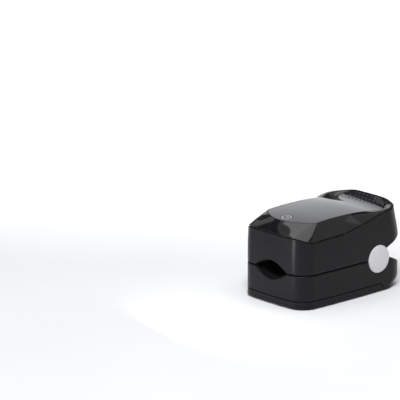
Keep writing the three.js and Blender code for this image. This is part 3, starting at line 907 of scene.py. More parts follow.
@dataclass(frozen=True)
class CellSleeve:
    """A printed shrink sleeve: dark, with a copper band towards the positive end."""

    name: str
    band_from: float
    towards_rear: bool
    sleeve: Colour = (0.012, 0.013, 0.016)
    copper: Colour = (0.5, 0.2, 0.07)

    def build(self) -> bpy.types.Material:
        """Makes the material: the band starts at a place along Y."""
        graph = Graph(self.name, Specular_IOR_Level=0.55, Coat_Weight=0.4, Coat_Roughness=0.12)
        test = "GREATER_THAN" if self.towards_rear else "LESS_THAN"
        band = graph.work_out(test, graph.axis("Y"), self.band_from * MM)
        scuffs = graph.noise(450.0, 8.0)
        sleeve = graph.ramp(scuffs, (0.35, self.sleeve), (0.85, tuple(c * 2 + 0.01 for c in self.sleeve)))
        copper = graph.ramp(scuffs, (0.3, tuple(c * 0.75 for c in self.copper)), (0.7, self.copper))
        graph.link(graph.blend(band, sleeve, copper), graph.shader.inputs["Base Color"])
        graph.link(graph.spread(scuffs, 0.22, 0.4), graph.shader.inputs["Roughness"])
        graph.bump((graph.noise(300.0, 3.0), 0.12, 0.0001))
        return graph.material


@dataclass(frozen=True)
class ClearPlastic:
    """Clear moulded plastic with faint flow lines."""

    name: str

    def build(self) -> bpy.types.Material:
        """Makes the material."""
        graph = Graph(self.name, Transmission_Weight=0.85, IOR=1.49)
        graph.link(
            graph.ramp(graph.noise(500.0), (0.3, (0.72, 0.75, 0.78)), (0.7, (0.86, 0.89, 0.92))),
            graph.shader.inputs["Base Color"],
        )
        graph.link(graph.spread(graph.noise(900.0), 0.05, 0.16), graph.shader.inputs["Roughness"])
        graph.bump((graph.noise(700.0), 0.08, 0.00005))
        return graph.material


@dataclass(frozen=True)
class FlexFilm:
    """Amber film with parallel copper tracks."""

    name: str
    film: Colour = (0.09, 0.038, 0.008)
    track: Colour = (0.16, 0.07, 0.02)
    pitch: float = 0.8

    def build(self) -> bpy.types.Material:
        """Makes the material: a sine across X makes the tracks."""
        graph = Graph(self.name, Specular_IOR_Level=0.5, Coat_Weight=0.3)
        turns = graph.work_out("MULTIPLY", graph.axis("X"), 2 * math.pi / (self.pitch * MM))
        wave = graph.work_out("SINE", turns)
        tracks = graph.work_out("GREATER_THAN", wave, 0.1)
        mottle = graph.noise(700.0, 5.0)
        film = graph.ramp(mottle, (0.3, tuple(c * 0.8 for c in self.film)), (0.7, self.film))
        track = graph.ramp(mottle, (0.3, tuple(c * 0.8 for c in self.track)), (0.7, self.track))
        graph.link(graph.blend(tracks, film, track), graph.shader.inputs["Base Color"])
        graph.link(graph.spread(mottle, 0.25, 0.4), graph.shader.inputs["Roughness"])
        graph.bump((tracks, 0.3, 0.00003))
        return graph.material


# ---------------------------------------------------------------- the shape that the jaws share
@dataclass(frozen=True)
class Form:
    """The outer form of the device: its plan, its leaning walls, its foot and its crowned top."""

    plan: Plan
    pivot: tuple[float, float]
    finger_half: float = 9.6
    finger_up: float = 4.0
    finger_down: float = 3.7
    finger_end: float = -20.0
    finger_power: float = 1.2
    knee: float = 22.0
    lean_top: float = 34.4
    lean_side: float = 0.45
    lean_rear: float = 2.6
    lean_power: float = 1.15
    parting: float = 14.6
    deck_start: float = 19.2
    deck_slope: float = 0.45
    undercut_slope: float = 0.424
    undercut_rise: float = 1.54
    cover_top: float = 3.35
    cover_rear: float = 16.0
    cover_corner: float = 1.8
    cover_floor: float = 1.0
    seam: Spline = Spline(
        (
            (-30.5, 30.2), (-27, 29.1), (-18, 28.6), (-8, 29), (1, 30.5),
            (10, 32.4), (16, 33.7), (21, 34.2), (28, 34.4),
        )
    )
    crown: Spline = Spline(
        (
            (-30, 34.0), (-25.5, 34.6), (-21.4, 35.2), (-12, 35.87), (0, 35.9),
            (10, 35.2), (19.5, 34.2), (24, 35.1), (28, 36.7),
        )
    )
    foot_side: Spline = Spline(((0, 1.2), (0.4, 0.45), (1.5, 0)))
    foot_rear: Spline = Spline(((0, 6.0), (0.4, 4.4), (1.5, 2.6), (3.3, 0.8), (5.2, 0)))

    def upper_wall(self, inset: Array | float, z: Array) -> Array:
        """Plan points of the upper jaw's wall, which leans in above the knee.

        Args:
            inset: how far inside the outer skin.
            z: height of each point.

        Returns:
            X and Y stacked on the first axis.
        """
        share = np.clip((z - self.knee) / (self.lean_top - self.knee), 0, 1) ** self.lean_power
        return self.plan.points(inset + self.lean_side * share, inset + self.lean_rear * share)

    def lower_wall(self, inset: Array | float, z: Array) -> Array:
        """Plan points of the lower jaw's wall, which rolls in to its foot and kicks up at the rear.

        Where the cover meets the casing, each column of points keeps its place along the side
        at every height, so that the seam between them stays straight.

        Args:
            inset: how far inside the outer skin.
            z: height of each point.

        Returns:
            X and Y stacked on the first axis.
        """
        inset, rear_inset = inset + self.foot_side(z), inset + self.foot_rear(z)
        x, y = self.plan.points(inset, rear_inset)
        outer_x, outer_y = self.plan.points(0.0)
        corner = self.plan.rear - self.plan.rear_radius
        start = corner - (rear_inset - inset)
        limit = self.cover_rear + 2 * GAP
        past = np.clip((outer_y - limit) / (corner - limit), 0, 1)
        along = (np.abs(outer_x) > self.plan.half / 2) & (outer_y > self.finger_end) & (outer_y < corner)
        side_x = outer_x - np.sign(outer_x) * inset
        side_y = np.minimum(outer_y, limit) + past * (start - limit)
        return np.stack([np.where(along, side_x, x), np.where(along, side_y, y)])

    def arch(self, x: Array, half: float, rise: float) -> Array:
        """An almond arch over X: rise times a power of one minus the squared share of the half width."""
        return rise * np.clip(1 - (x / half) ** 2, 0, 1) ** self.finger_power

    def upper_edge(self, x: Array, y: Array) -> Array:
        """Lowest height of the upper wall: the parting line, the finger arch or the undercut.

        Args:
            x: across the device.
            y: along it.

        Returns:
            Heights.
        """
        arch = np.where(y < self.finger_end, self.arch(x, self.finger_half, self.finger_up), 0)
        flat = np.maximum(self.parting + GAP / 2, self.parting + arch)
        return np.maximum(flat, self.undercut(y))

    def lower_edge(self, x: Array, y: Array) -> Array:
        """Highest height of the lower wall: the parting line, the finger arch or the deck.

        Args:
            x: across the device.
            y: along it.

        Returns:
            Heights.
        """
        arch = np.where(y < self.finger_end, self.arch(x, self.finger_half, self.finger_down), 0)
        flat = np.minimum(self.parting - GAP / 2, self.parting - arch)
        return np.minimum(flat, self.deck(y))

    def undercut(self, y: Array) -> Array:
        """The sloping underside of the upper jaw's rear."""
        return self.pivot[1] + self.undercut_rise + self.undercut_slope * (y - self.pivot[0])

    def deck(self, y: Array) -> Array:
        """The sloping top of the lower jaw's rear."""
        return self.parting - GAP / 2 - self.deck_slope * np.maximum(y - self.deck_start, 0)

    def cover_line(self, y: Array, grow: float) -> Array:
        """Height of the battery cover's top edge over Y, with its quarter-circle rear corner.

        Args:
            y: place along the side.
            grow: how far the line is moved out from the cover.

        Returns:
            Heights. Behind the cover the line drops to 0.
        """
        radius = self.cover_corner + grow
        middle = self.cover_rear - self.cover_corner
        over = np.clip(y - middle, 0, radius)
        line = self.cover_top - self.cover_corner + np.sqrt(radius**2 - over**2)
        return np.where(y > self.cover_rear + grow, 0.0, line)


def cover_crowd(rear: float, corner: float) -> tuple[float, ...]:
    """Places along Y where the lower jaw needs extra points for the cover's rear corner.

    Args:
        rear: Y of the cover's rear edge.
        corner: radius of the corner at the top of that edge.

    Returns:
        Places round the corner's arc, then pairs close to the two faces of the rear seam.
    """
    arc = rear - corner + (corner + GAP) * np.sin(np.linspace(0, math.pi / 2, 12))
    faces = (rear - 0.015, rear + 0.005, rear + GAP - 0.005, rear + GAP + 0.01)
    return (*(float(y) for y in arc[:-1]), *faces)


# ---------------------------------------------------------------- the upper jaw
@dataclass(frozen=True)
class Window:
    """The D-shaped display window and the crowned top surface that it follows."""

    plan: Plan
    form: Form
    key: tuple[float, float]
    crown_drop: float = 0.6

    def top(self, x: Array, y: Array) -> Array:
        """Height of the glossy top: the crown line, less a parabola across the width."""
        return self.form.crown(y) - self.crown_drop * (x / self.plan.half) ** 2


@dataclass
class UpperJaw:
    """The upper jaw's visible pieces: shell, rear floor, bezel, window and grip dots."""

    form: Form
    window: Window
    cap_radius: float = 5.9
    recess: float = 17.75
    foot_roll: float = 0.55
    seam_roll: float = 0.25
    floor_inset: float = 1.5
    floor_thick: float = 1.6
    bezel_lift: Spline = Spline(((12, 0.3), (24, 0.6), (30, 0.6)))
    bezel_roll: float = 0.2
    bezel_lip: float = 0.14
    ledge_width: float = 1.0
    ledge_thick: float = 0.9
    hem_inset: float = 2.9
    hem_drop: float = 0.6
    lens_thick: float = 1.2
    lens_gap: float = 0.14
    lens_roll: float = 0.14
    key_hole: float = 2.55
    dot_rows: tuple[tuple[float, int], ...] = ((21.3, 7), (23.3, 8), (25.2, 7))
    dot_pitch: float = 2.3
    dot_radius: float = 0.55
    dot_rise: float = 0.2
    dot_sink: float = 0.25

    def seam_height(self) -> Array:
        """Height of the bezel seam at each plan point, where it meets the leaning wall.

        Returns:
            One height for each plan point.
        """
        y = self.form.upper_wall(0.0, np.array(self.form.lean_top))[1]
        z = self.form.seam(y)
        return self.form.seam(self.form.upper_wall(0.0, z)[1])

    def shell(self) -> Surface:
        """The wall, as rings in a loop.

        Returns:
            The closed shell: rolled lower edge, leaning side, rolled seam edge and inner skin.
        """
        roll, brow = self.foot_roll, self.seam_roll
        turn = column(np.linspace(0, math.pi / 2, 7))
        inset_foot = roll * (1 - np.sin(turn))
        low = self.form.upper_edge(*self.form.plan.points(inset_foot))
        edge = self.form.upper_edge(*self.form.plan.points(0.0))
        inner = self.form.upper_edge(*self.form.plan.points(WALL))
        high = self.seam_height() - GAP / 2
        share = column(np.linspace(0, 1, 44)[1:-1])
        side = edge + roll + share * (high - brow - edge - roll)
        down = column(np.linspace(1, 0, 12))
        z = stack(
            low + roll * (1 - np.cos(turn)),
            side,
            high - brow + brow * np.sin(turn),
            inner + down * (high - inner),
        )
        inset = stack(
            inset_foot + 0 * low,
            0 * side,
            brow * (1 - np.cos(turn)) + 0 * low,
            WALL + 0 * down + 0 * inner,
        )
        x, y = self.form.upper_wall(inset, z)
        return ring_surface(np.stack([x, y, z], -1), looped=True)

    def floor(self) -> Surface:
        """The sloping plate that closes the shell above the pinch notch.

        Returns:
            The closed plate.
        """
        inset = self.floor_inset
        place = np.linspace(self.form.deck_start, self.form.plan.rear - inset - HAIR, 24)
        half = self.form.plan.half_width(place, inset, inset)
        x = column(half) * np.linspace(-1, 1, 30)
        y = column(place) + 0 * x
        under = np.stack([x, y, self.form.undercut(y) + HAIR], -1)
        return plate_surface(under + np.array([0, 0, self.floor_thick]), under)

    def bezel(self) -> Surface:
        """The glossy band: a lifted ruled surface from the shell's seam to the window's edge.

        Returns:
            The closed band, with the ledge that the window lies on and the hem in the shell.
        """
        seam = self.seam_height() + GAP / 2
        roll, lip = self.bezel_roll, self.bezel_lip
        turn = column(np.linspace(0, math.pi / 2, 6))
        foot_z = seam + roll * (1 - np.cos(turn))
        foot = np.stack([*self.form.upper_wall(roll * (1 - np.sin(turn)), foot_z), foot_z], -1)
        edge_x, edge_y = self.window.plan.points(-lip)
        edge = np.stack([edge_x, edge_y, self.window.top(edge_x, edge_y)], -1)
        share = np.linspace(0, 1, 40)[1:-1, None, None]
        start = foot[-1]
        band = start + share * (edge - start)
        band[..., 2] += (4 * share * (1 - share))[..., 0] * self.bezel_lift(band[..., 1])
        rim_x, rim_y = self.window.plan.points(-lip * np.cos(turn))
        rim_z = self.window.top(rim_x, rim_y) - lip * (1 - np.sin(turn[::-1]))
        rim = np.stack([rim_x, rim_y, rim_z], -1)
        depth = self.lens_thick + GAP
        width, deepest = self.ledge_width, depth + self.ledge_thick
        ledge = []
        for inset, drop in ((0.0, depth), (width, depth), (width, deepest)):
            x, y = self.window.plan.points(inset)
            ledge.append(np.stack([x, y, self.window.top(x, y) - drop], -1))
        hem = [
            np.stack([*self.form.upper_wall(self.hem_inset, seam - drop), seam - drop], -1)
            for drop in (self.hem_drop, 0.0)
        ]
        grid = np.concatenate([foot, band, rim, np.stack(ledge), np.stack(hem)])
        return ring_surface(grid, looped=True)

    def lens(self, hole: float) -> Surface:
        """The window: a dished sheet from its outline in to the key's hole, rolled at the edges.

        Args:
            hole: radius of the hole for the key.

        Returns:
            The closed sheet. Rows run over the top, down the hole, back under and up the edge.
        """
        gap, roll = self.lens_gap, self.lens_roll
        turn = np.linspace(0, math.pi / 2, 5)
        rim_x, rim_y = self.window.plan.points(column(gap + roll * (1 - np.sin(turn))))
        outer = np.stack([rim_x[-1], rim_y[-1]])
        angle = np.arctan2(outer[1] - self.window.key[1], outer[0] - self.window.key[0])
        spoke = np.stack([np.cos(angle), np.sin(angle)])
        hub = np.array(self.window.key)[:, None] + hole * spoke
        share = np.linspace(0, 1, 72)[1:, None]
        across = outer[:, None] + share * (hub - outer)[:, None]
        x = np.concatenate([rim_x, across[0]])
        y = np.concatenate([rim_y, across[1]])
        level = self.window.top(x, y)
        top = level.copy()
        top[: len(turn)] -= column(roll * (1 - np.cos(turn)))[::-1]
        every_sixth_row_back = slice(None, None, -6)
        grid_top = np.stack([x, y, top], -1)
        grid_bottom = np.stack([x, y, level - self.lens_thick], -1)[every_sixth_row_back]
        return ring_surface(np.concatenate([grid_top, grid_bottom]), looped=True)

    def dots(self) -> list[Surface]:
        """Low domes in staggered rows on the rear slope, each turned about the surface's normal.

        Returns:
            One closed shell for each dome.
        """
        turn = np.linspace(0.04, 1, 6) * math.pi / 2
        dome = np.stack([self.dot_radius * np.sin(turn), self.dot_rise * np.cos(turn)], -1)
        buried = np.array([[self.dot_radius, -self.dot_sink], [0.1, -self.dot_sink]])
        profile = np.concatenate([dome, buried])
        domes = []
        for place, count in self.dot_rows:
            for x in (np.arange(count) - (count - 1) / 2) * self.dot_pitch:
                z = float(self.window.top(np.array(x), np.array(place)))
                normal = self.slope_normal(x, place)
                domes.append(revolve(profile, (x, place, z), normal, sides=20))
        return domes

    def slope_normal(self, x: float, y: float) -> Array:
        """The unit normal of the glossy top, from small steps along X and Y.

        Args:
            x: across the device.
            y: along it.

        Returns:
            The normal.
        """
        step = 0.05
        at = np.array([[x + step, y], [x - step, y], [x, y + step], [x, y - step]]).T
        right, left, rear, front = self.window.top(*at)
        normal = np.array([(left - right), (front - rear), 2 * step])
        return normal / np.linalg.norm(normal)

    def build(self, finishes: "Finishes") -> None:
        """Makes and dresses the upper jaw's pieces.

        Args:
            finishes: every material.
        """
        shell = to_object("upper_casing", [self.shell()])
        cut_away(shell, hinge_recess(self.form, self.cap_radius + CAP_PLAY, self.recess))
        finish_piece(shell, Body.UPPER, Slot.SATIN, [finishes.satin], ("upper_shell",))
        floor = to_object("upper_rear_floor", [self.floor()])
        finish_piece(floor, Body.UPPER, Slot.SATIN, [finishes.satin])
        bezel = to_object("glossy_bezel", [self.bezel()])
        finish_piece(bezel, Body.UPPER, Slot.GLOSS, [finishes.gloss], ("top_bezel",), crease=40)
        lens = to_object("display_window", [self.lens(self.key_hole)])
        finish_piece(lens, Body.UPPER, Slot.LENS, [finishes.window], ("display_lens",), crease=40)
        dots = to_object("grip_dots", self.dots())
        finish_piece(dots, Body.UPPER, Slot.GLOSS, [finishes.gloss], crease=60)


def hinge_recess(form: Form, radius: float, depth: float) -> list[Surface]:
    """The round recesses for the caps, with the pin holes behind them.

    Args:
        form: the device's form.
        radius: radius of the recess.
        depth: how far from the middle plane its floor lies.

    Returns:
        One closed tool for each side.
    """
    hole, hole_depth, outside = 2.2, 3.0, 21.0
    profile = [(hole, depth - hole_depth), (hole, depth), (radius, depth), (radius, outside)]
    return [
        revolve(profile, (0, *form.pivot), (side, 0, 0), sides=96) for side in (1.0, -1.0)
    ]


@dataclass
class Key:
    """The round key with its flange and stem."""

    window: Window
    radius: float = 2.42
    roll: float = 0.12
    crown: float = 0.04
    flange: float = 3.1
    flange_top: float = 32.9
    flange_foot: float = 32.3
    stem: float = 1.2
    stem_foot: float = 32.0

    def build(self, finishes: "Finishes") -> None:
        """Makes the key: rings over its crowned face, down its side and under its flange.

        Args:
            finishes: every material.
        """
        roll, share = self.roll, np.linspace(0, 1, 14)
        turn = np.linspace(0, math.pi / 2, 6)
        radius = np.concatenate([
            np.linspace(0.05, self.radius - roll, 14),
            self.radius - roll + roll * np.sin(turn),
            [self.radius, self.flange, self.flange, self.stem, self.stem],
        ])
        drop = np.concatenate([self.crown * (1 - share**2), roll * (1 - np.cos(turn))])
        angle = np.linspace(0, 2 * math.pi, 96, endpoint=False)
        x = self.window.key[0] + column(radius) * np.cos(angle)
        y = self.window.key[1] + column(radius) * np.sin(angle)
        z = np.zeros_like(x)
        crowned = len(drop)
        z[:crowned] = self.window.top(x[:crowned], y[:crowned]) - column(drop)
        high, low, foot = self.flange_top, self.flange_foot, self.stem_foot
        z[crowned:] = column([high, high, low, low, foot])
        key = to_object("round_key", [ring_surface(np.stack([x, y, z], -1))])
        finish_piece(key, Body.KEY, Slot.LENS, [finishes.key], ("power_button",))


# ---------------------------------------------------------------- the lower jaw
@dataclass
class LowerJaw:
    """The lower jaw's casing and the battery cover."""

    form: Form
    cap_radius: float = 5.9
    recess: float = 17.75
    top_roll: float = 0.55
    seam_roll: float = 0.18
    skirt: float = 1.5
    skirt_wall: float = 0.8
    skirt_top: float = 4.2
    plate_inset: float = 1.5
    plate_thick: float = 1.6
    bay_rear: float = 22.8
    bay_inset: float = 2.1
    bay_rear_inset: float = 6.9
    bulkhead: Triple = (16.6, 1.3, 9.2)
    rib: Triple = (5.5, 3.0, 4.4)
    rib_holes: tuple[float, float] = (-22.0, 14.6)
    cover_roll: float = 0.14
    cover_wall: float = 1.2
    cover_middle: float = -7.0

    def shell(self) -> Surface:
        """The wall, as rings in a loop.

        Returns:
            The closed shell: rolled top edge, side, cover seam and skirt, and inner skin.
        """
        roll, nick = self.top_roll, self.seam_roll
        turn = column(np.linspace(0, math.pi / 2, 7))
        outer = self.form.plan.points(0.0)
        high = self.form.lower_edge(*outer)
        low = self.form.cover_line(outer[1], GAP)
        behind = outer[1] > self.form.cover_rear + GAP
        top_inset = roll * (1 - np.sin(turn))
        top = self.form.lower_edge(*self.form.plan.points(top_inset)) - roll * (1 - np.cos(turn))
        share = column(np.linspace(0, 1, 40)[1:-1])
        side = high - roll + share * (low + nick - high + roll)
        hook = np.where(behind, 0.0, self.form.cover_floor + GAP)
        inner_top = self.form.lower_edge(*self.form.plan.points(WALL))
        up = column(np.linspace(0, 1, 12)[1:])
        inner = hook + up * (inner_top - hook)
        z = stack(
            top,
            side,
            low + nick * (1 - np.sin(turn)),
            low + 0 * turn[:1],
            hook,
            hook,
            inner,
        )
        skirt_inside = self.skirt + self.skirt_wall
        flat = 0 * low[None]
        inset = stack(
            top_inset + flat,
            0 * side,
            nick * (1 - np.cos(turn)) + flat,
            self.skirt + flat,
            self.skirt + flat,
            skirt_inside + flat,
            np.where(inner < self.skirt_top, skirt_inside, WALL),
        )
        x, y = self.form.lower_wall(inset, z)
        return ring_surface(np.stack([x, y, z], -1), looped=True)

    def plate(
        self,
        start: float,
        inset: float,
        rear_inset: float,
        top: Callable[[Array], Array],
        thick: float,
    ) -> Surface:
        """A plate across the rear of the jaw, out to its wall.

        Args:
            start: Y of its front edge.
            inset: how far its sides stay inside the skin.
            rear_inset: how far its rear stays inside the skin.
            top: a function of Y that gives its upper face.
            thick: its thickness.

        Returns:
            The closed plate.
        """
        place = np.linspace(start, self.form.plan.rear - rear_inset - HAIR, 24)
        half = self.form.plan.half_width(place, inset, rear_inset)
        x = column(half) * np.linspace(-1, 1, 30)
        y = column(place) + 0 * x
        face = np.stack([x, y, top(y)], -1)
        return plate_surface(face, face - np.array([0, 0, thick]))

    def cover(self) -> Surface:
        """The battery cover, as rings from the middle of its underside to the middle of its floor.

        Returns:
            The closed cover: underside, rolled foot, low wall, inner face and floor.
        """
        form, roll = self.form, self.cover_roll
        turn = column(np.linspace(0, math.pi / 2, 6))
        outer_y = form.plan.points(0.0)[1]
        behind = outer_y > form.cover_rear
        high = np.where(behind, form.cover_floor, form.cover_line(outer_y, 0.0))
        share = column(np.linspace(0, 1, 16) ** 1.6)
        side = share * (high - roll)
        brow = high - roll + roll * np.sin(turn)
        inner = stack(high, 0 * high + form.cover_floor)
        z = stack(side, brow, inner)
        flat = 0 * high[None]
        wall = self.cover_wall - form.foot_side(inner)
        inset = stack(0 * side, roll * (1 - np.cos(turn)) + flat, wall)
        x, y = form.lower_wall(inset, z)
        y = np.minimum(y, form.cover_rear - np.maximum(inset, 0))
        grid = np.stack([x, y, z], -1)
        middle = np.array([0, self.cover_middle, 0])
        shares = np.array([0.03, 0.3, 0.6, 0.85])[:, None, None]
        flat_ring = np.array([1, 1, 0])
        base, floor = grid[0], grid[-1]
        under = (middle + shares * (base - middle)) * flat_ring
        over = (middle + shares[::-1] * (floor - middle)) * flat_ring + [0, 0, form.cover_floor]
        return ring_surface(np.concatenate([under, grid, over]))

    def build(self, finishes: "Finishes") -> None:
        """Makes and dresses the casing and the cover.

        Args:
            finishes: every material.
        """
        form, bay_end = self.form, self.form.cover_rear + GAP
        half, thick, top = self.bulkhead
        plates = [
            self.plate(
                form.deck_start,
                self.plate_inset,
                self.plate_inset,
                lambda y: form.deck(y) - HAIR,
                self.plate_thick,
            ),
            self.plate(
                bay_end,
                self.bay_inset,
                self.bay_rear_inset,
                lambda y: 0 * y + form.cover_floor,
                form.cover_floor - HAIR,
            ),
            round_block((-half, self.bay_rear, 0.9), (half, self.bay_rear + thick, top), 0.3, 0.1),
        ]
        casing = to_object("lower_casing", [self.shell()])
        cut_away(casing, hinge_recess(form, self.cap_radius + CAP_PLAY, self.recess))
        finish_piece(casing, Body.LOWER, Slot.SATIN, [finishes.satin], ("lower_shell",))
        inside = to_object("lower_plates", plates)
        finish_piece(inside, Body.LOWER, Slot.SATIN, [finishes.satin])
        half, low, high = self.rib
        start, end = form.plan.front + 1.5, self.bay_rear + 0.4
        rib = to_object("cell_rib", [round_block((-half, start, low), (half, end, high), 0.5, 0.2)])
        hole = [(1.1, low - 1), (1.1, high + 1.6)]
        cut_away(rib, [revolve(hole, (0, y, 0), (0, 0, 1.0), 32) for y in self.rib_holes])
        finish_piece(rib, Body.LOWER, Slot.SATIN, [finishes.satin])
        cover = to_object("cell_cover", [self.cover()])
        finish_piece(cover, Body.COVER, Slot.SATIN, [finishes.satin], ("battery_cover",))


# ---------------------------------------------------------------- pads, hinge, cells, fasteners
@dataclass
class FingerPads:
    """The two silicone liners of the finger channel."""

    form: Form
    half: float = 9.2
    flange: float = 12.6
    length: tuple[float, float] = (-28.3, 8.0)
    flare_length: float = 1.2
    flare: float = 0.5
    rib_rise: float = 0.09
    rib_pitch: float = 2.2
    sensor: float = -8.0
    sensor_reach: tuple[float, float] = (3.6, 2.9)

    def liner(self, rise: float, base: float, thick: float) -> list[Surface]:
        """A crowned arch plate with rolled ends and low cross ribs, and its end wall.

        Args:
            rise: height of the arch, negative for the lower pad.
            base: height of its flange.
            thick: thickness, with the sign of rise.

        Returns:
            Two closed shells. The face is the arch plus ribs, a raised cosine along Y.
        """
        x = np.linspace(-self.flange, self.flange, 120)
        y = np.linspace(*self.length, 150)[:, None]
        arch = self.form.arch(x, self.half, rise)
        end = np.minimum(y - self.length[0], self.flare_length) / self.flare_length
        flare = math.copysign(self.flare, rise) * (1 - np.sin(end * math.pi / 2))
        held = np.clip(1 - (x / (self.half * 0.85)) ** 2, 0, 1) * np.sin(end * math.pi / 2)
        wave = np.clip(np.cos(2 * math.pi * y / self.rib_pitch), 0, 1) ** 2
        ribs = -math.copysign(self.rib_rise, rise) * held * wave
        face = base + arch + flare * (arch != 0) + ribs
        back = base + self.form.arch(x, self.half + 0.9, rise) + thick + 0 * y
        near = np.stack([x + 0 * y, y + 0 * x, face], -1)
        far = np.stack([x + 0 * y, y + 0 * x, back], -1)
        low, high = sorted((base, base + rise + 0.6 * thick))
        reach, rear = self.half * 0.8, self.length[1]
        wall = round_block((-reach, rear - 1.2, low), (reach, rear - 0.1, high), 0.4, 0.2)
        return [plate_surface(near, far), wall]

    def build(self, finishes: "Finishes") -> None:
        """Args:
            finishes: every material.
        """
        gap = GAP / 2
        for name, node, body, rise, base, thick in (
            ("upper_liner", "upper_pad", Body.UPPER, 3.6, self.form.parting + gap, 0.9),
            ("lower_liner", "lower_pad", Body.LOWER, -3.4, self.form.parting - gap, -0.9),
        ):
            pad = to_object(name, self.liner(rise, base, thick))
            middle, reach = np.array([0, self.sensor, base]), np.array([*self.sensor_reach, 6])
            cut_away(pad, [round_block(middle - reach, middle + reach, 0.8, 0.1)])
            finish_piece(pad, body, Slot.SILICONE, [finishes.silicone], (node,), crease=50)


@dataclass
class Hinge:
    """Pivot caps, pins and torsion springs."""

    pivot: tuple[float, float]
    cap_radius: float = 5.9
    crown: float = 19.75
    crown_drop: float = 0.45
    rim_roll: float = 0.5
    rim_drop: float = 0.16
    floor: float = 17.95
    spring_turns: float = 3.6
    spring_radius: float = 1.95
    wire: float = 0.28

    def cap(self, side: float) -> Surface:
        """A domed cap: the crown falls with the cube of the radius, then rolls over at its rim.

        Args:
            side: 1 for the right, -1 for the left.

        Returns:
            The closed cap.
        """
        rim, roll = self.cap_radius, self.rim_roll
        radius = np.linspace(0.04, rim - roll, 22)
        share = radius / (rim - roll)
        dome = self.crown - self.crown_drop * share**3
        turn = np.linspace(0, math.pi / 2, 8)[1:]
        tall = roll + self.rim_drop
        edge = self.crown - self.crown_drop - tall
        rolled = np.stack([rim - roll + roll * np.sin(turn), edge + tall * np.cos(turn)], -1)
        back = [(rim, self.floor), (3.2, self.floor), (3.2, 18.6), (0.1, 18.6)]
        profile = np.concatenate([np.stack([radius, dome], -1), rolled, back])
        return revolve(profile, (0, *self.pivot), (side, 0, 0), sides=96)

    def pin(self, side: float) -> Surface:
        """A headed pin with chamfered ends.

        Args:
            side: 1 for the right, -1 for the left.

        Returns:
            The closed pin.
        """
        shank = [(0.1, 8.1), (1.0, 8.1), (1.2, 8.3), (1.2, 17.85)]
        head = [(2.4, 17.85), (2.6, 18.0), (2.6, 18.2), (2.45, 18.3), (0.1, 18.3)]
        return revolve(shank + head, (0, *self.pivot), (side, 0, 0), sides=40)

    def spring(self, side: float) -> Surface:
        """A close coil on the pin with two legs: a helix whose ends run out to the rear.

        Args:
            side: 1 for the right, -1 for the left.

        Returns:
            The closed wire.
        """
        turn = np.linspace(0, self.spring_turns * 2 * math.pi, 150) - 0.6
        share = np.linspace(0, 1, len(turn))
        coil = np.stack([
            side * (8.6 + 2.5 * share),
            self.pivot[0] + self.spring_radius * np.sin(turn),
            self.pivot[1] - self.spring_radius * np.cos(turn),
        ], -1)
        y, z = self.pivot
        lower = np.linspace((side * 8.5, y + 5, z - 2), coil[0], 12)[:-1]
        upper = np.linspace(coil[-1], (side * 11.1, y + 5, z + 2.6), 12)[1:]
        return wire_surface(np.concatenate([lower, coil, upper]), self.wire)

    def build(self, finishes: "Finishes") -> None:
        """Makes both sides of the hinge.

        Args:
            finishes: every material.
        """
        for name, side in (("left", -1.0), ("right", 1.0)):
            cap = to_object(f"cap_{name}", [self.cap(side)])
            node = f"pivot_cap_{name}"
            finish_piece(cap, Body.LOWER, Slot.CAP, [finishes.cap], (node,), crease=50)
            pin = to_object(f"pin_{name}", [self.pin(side)])
            node = f"hinge_pin_{name}"
            finish_piece(pin, Body.LOWER, Slot.STEEL, [finishes.steel], (node,))
            spring = to_object(f"torsion_spring_{name}", [self.spring(side)])
            node = f"hinge_spring_{name}"
            finish_piece(spring, Body.LOWER, Slot.STEEL, [finishes.steel], (node,), crease=60)


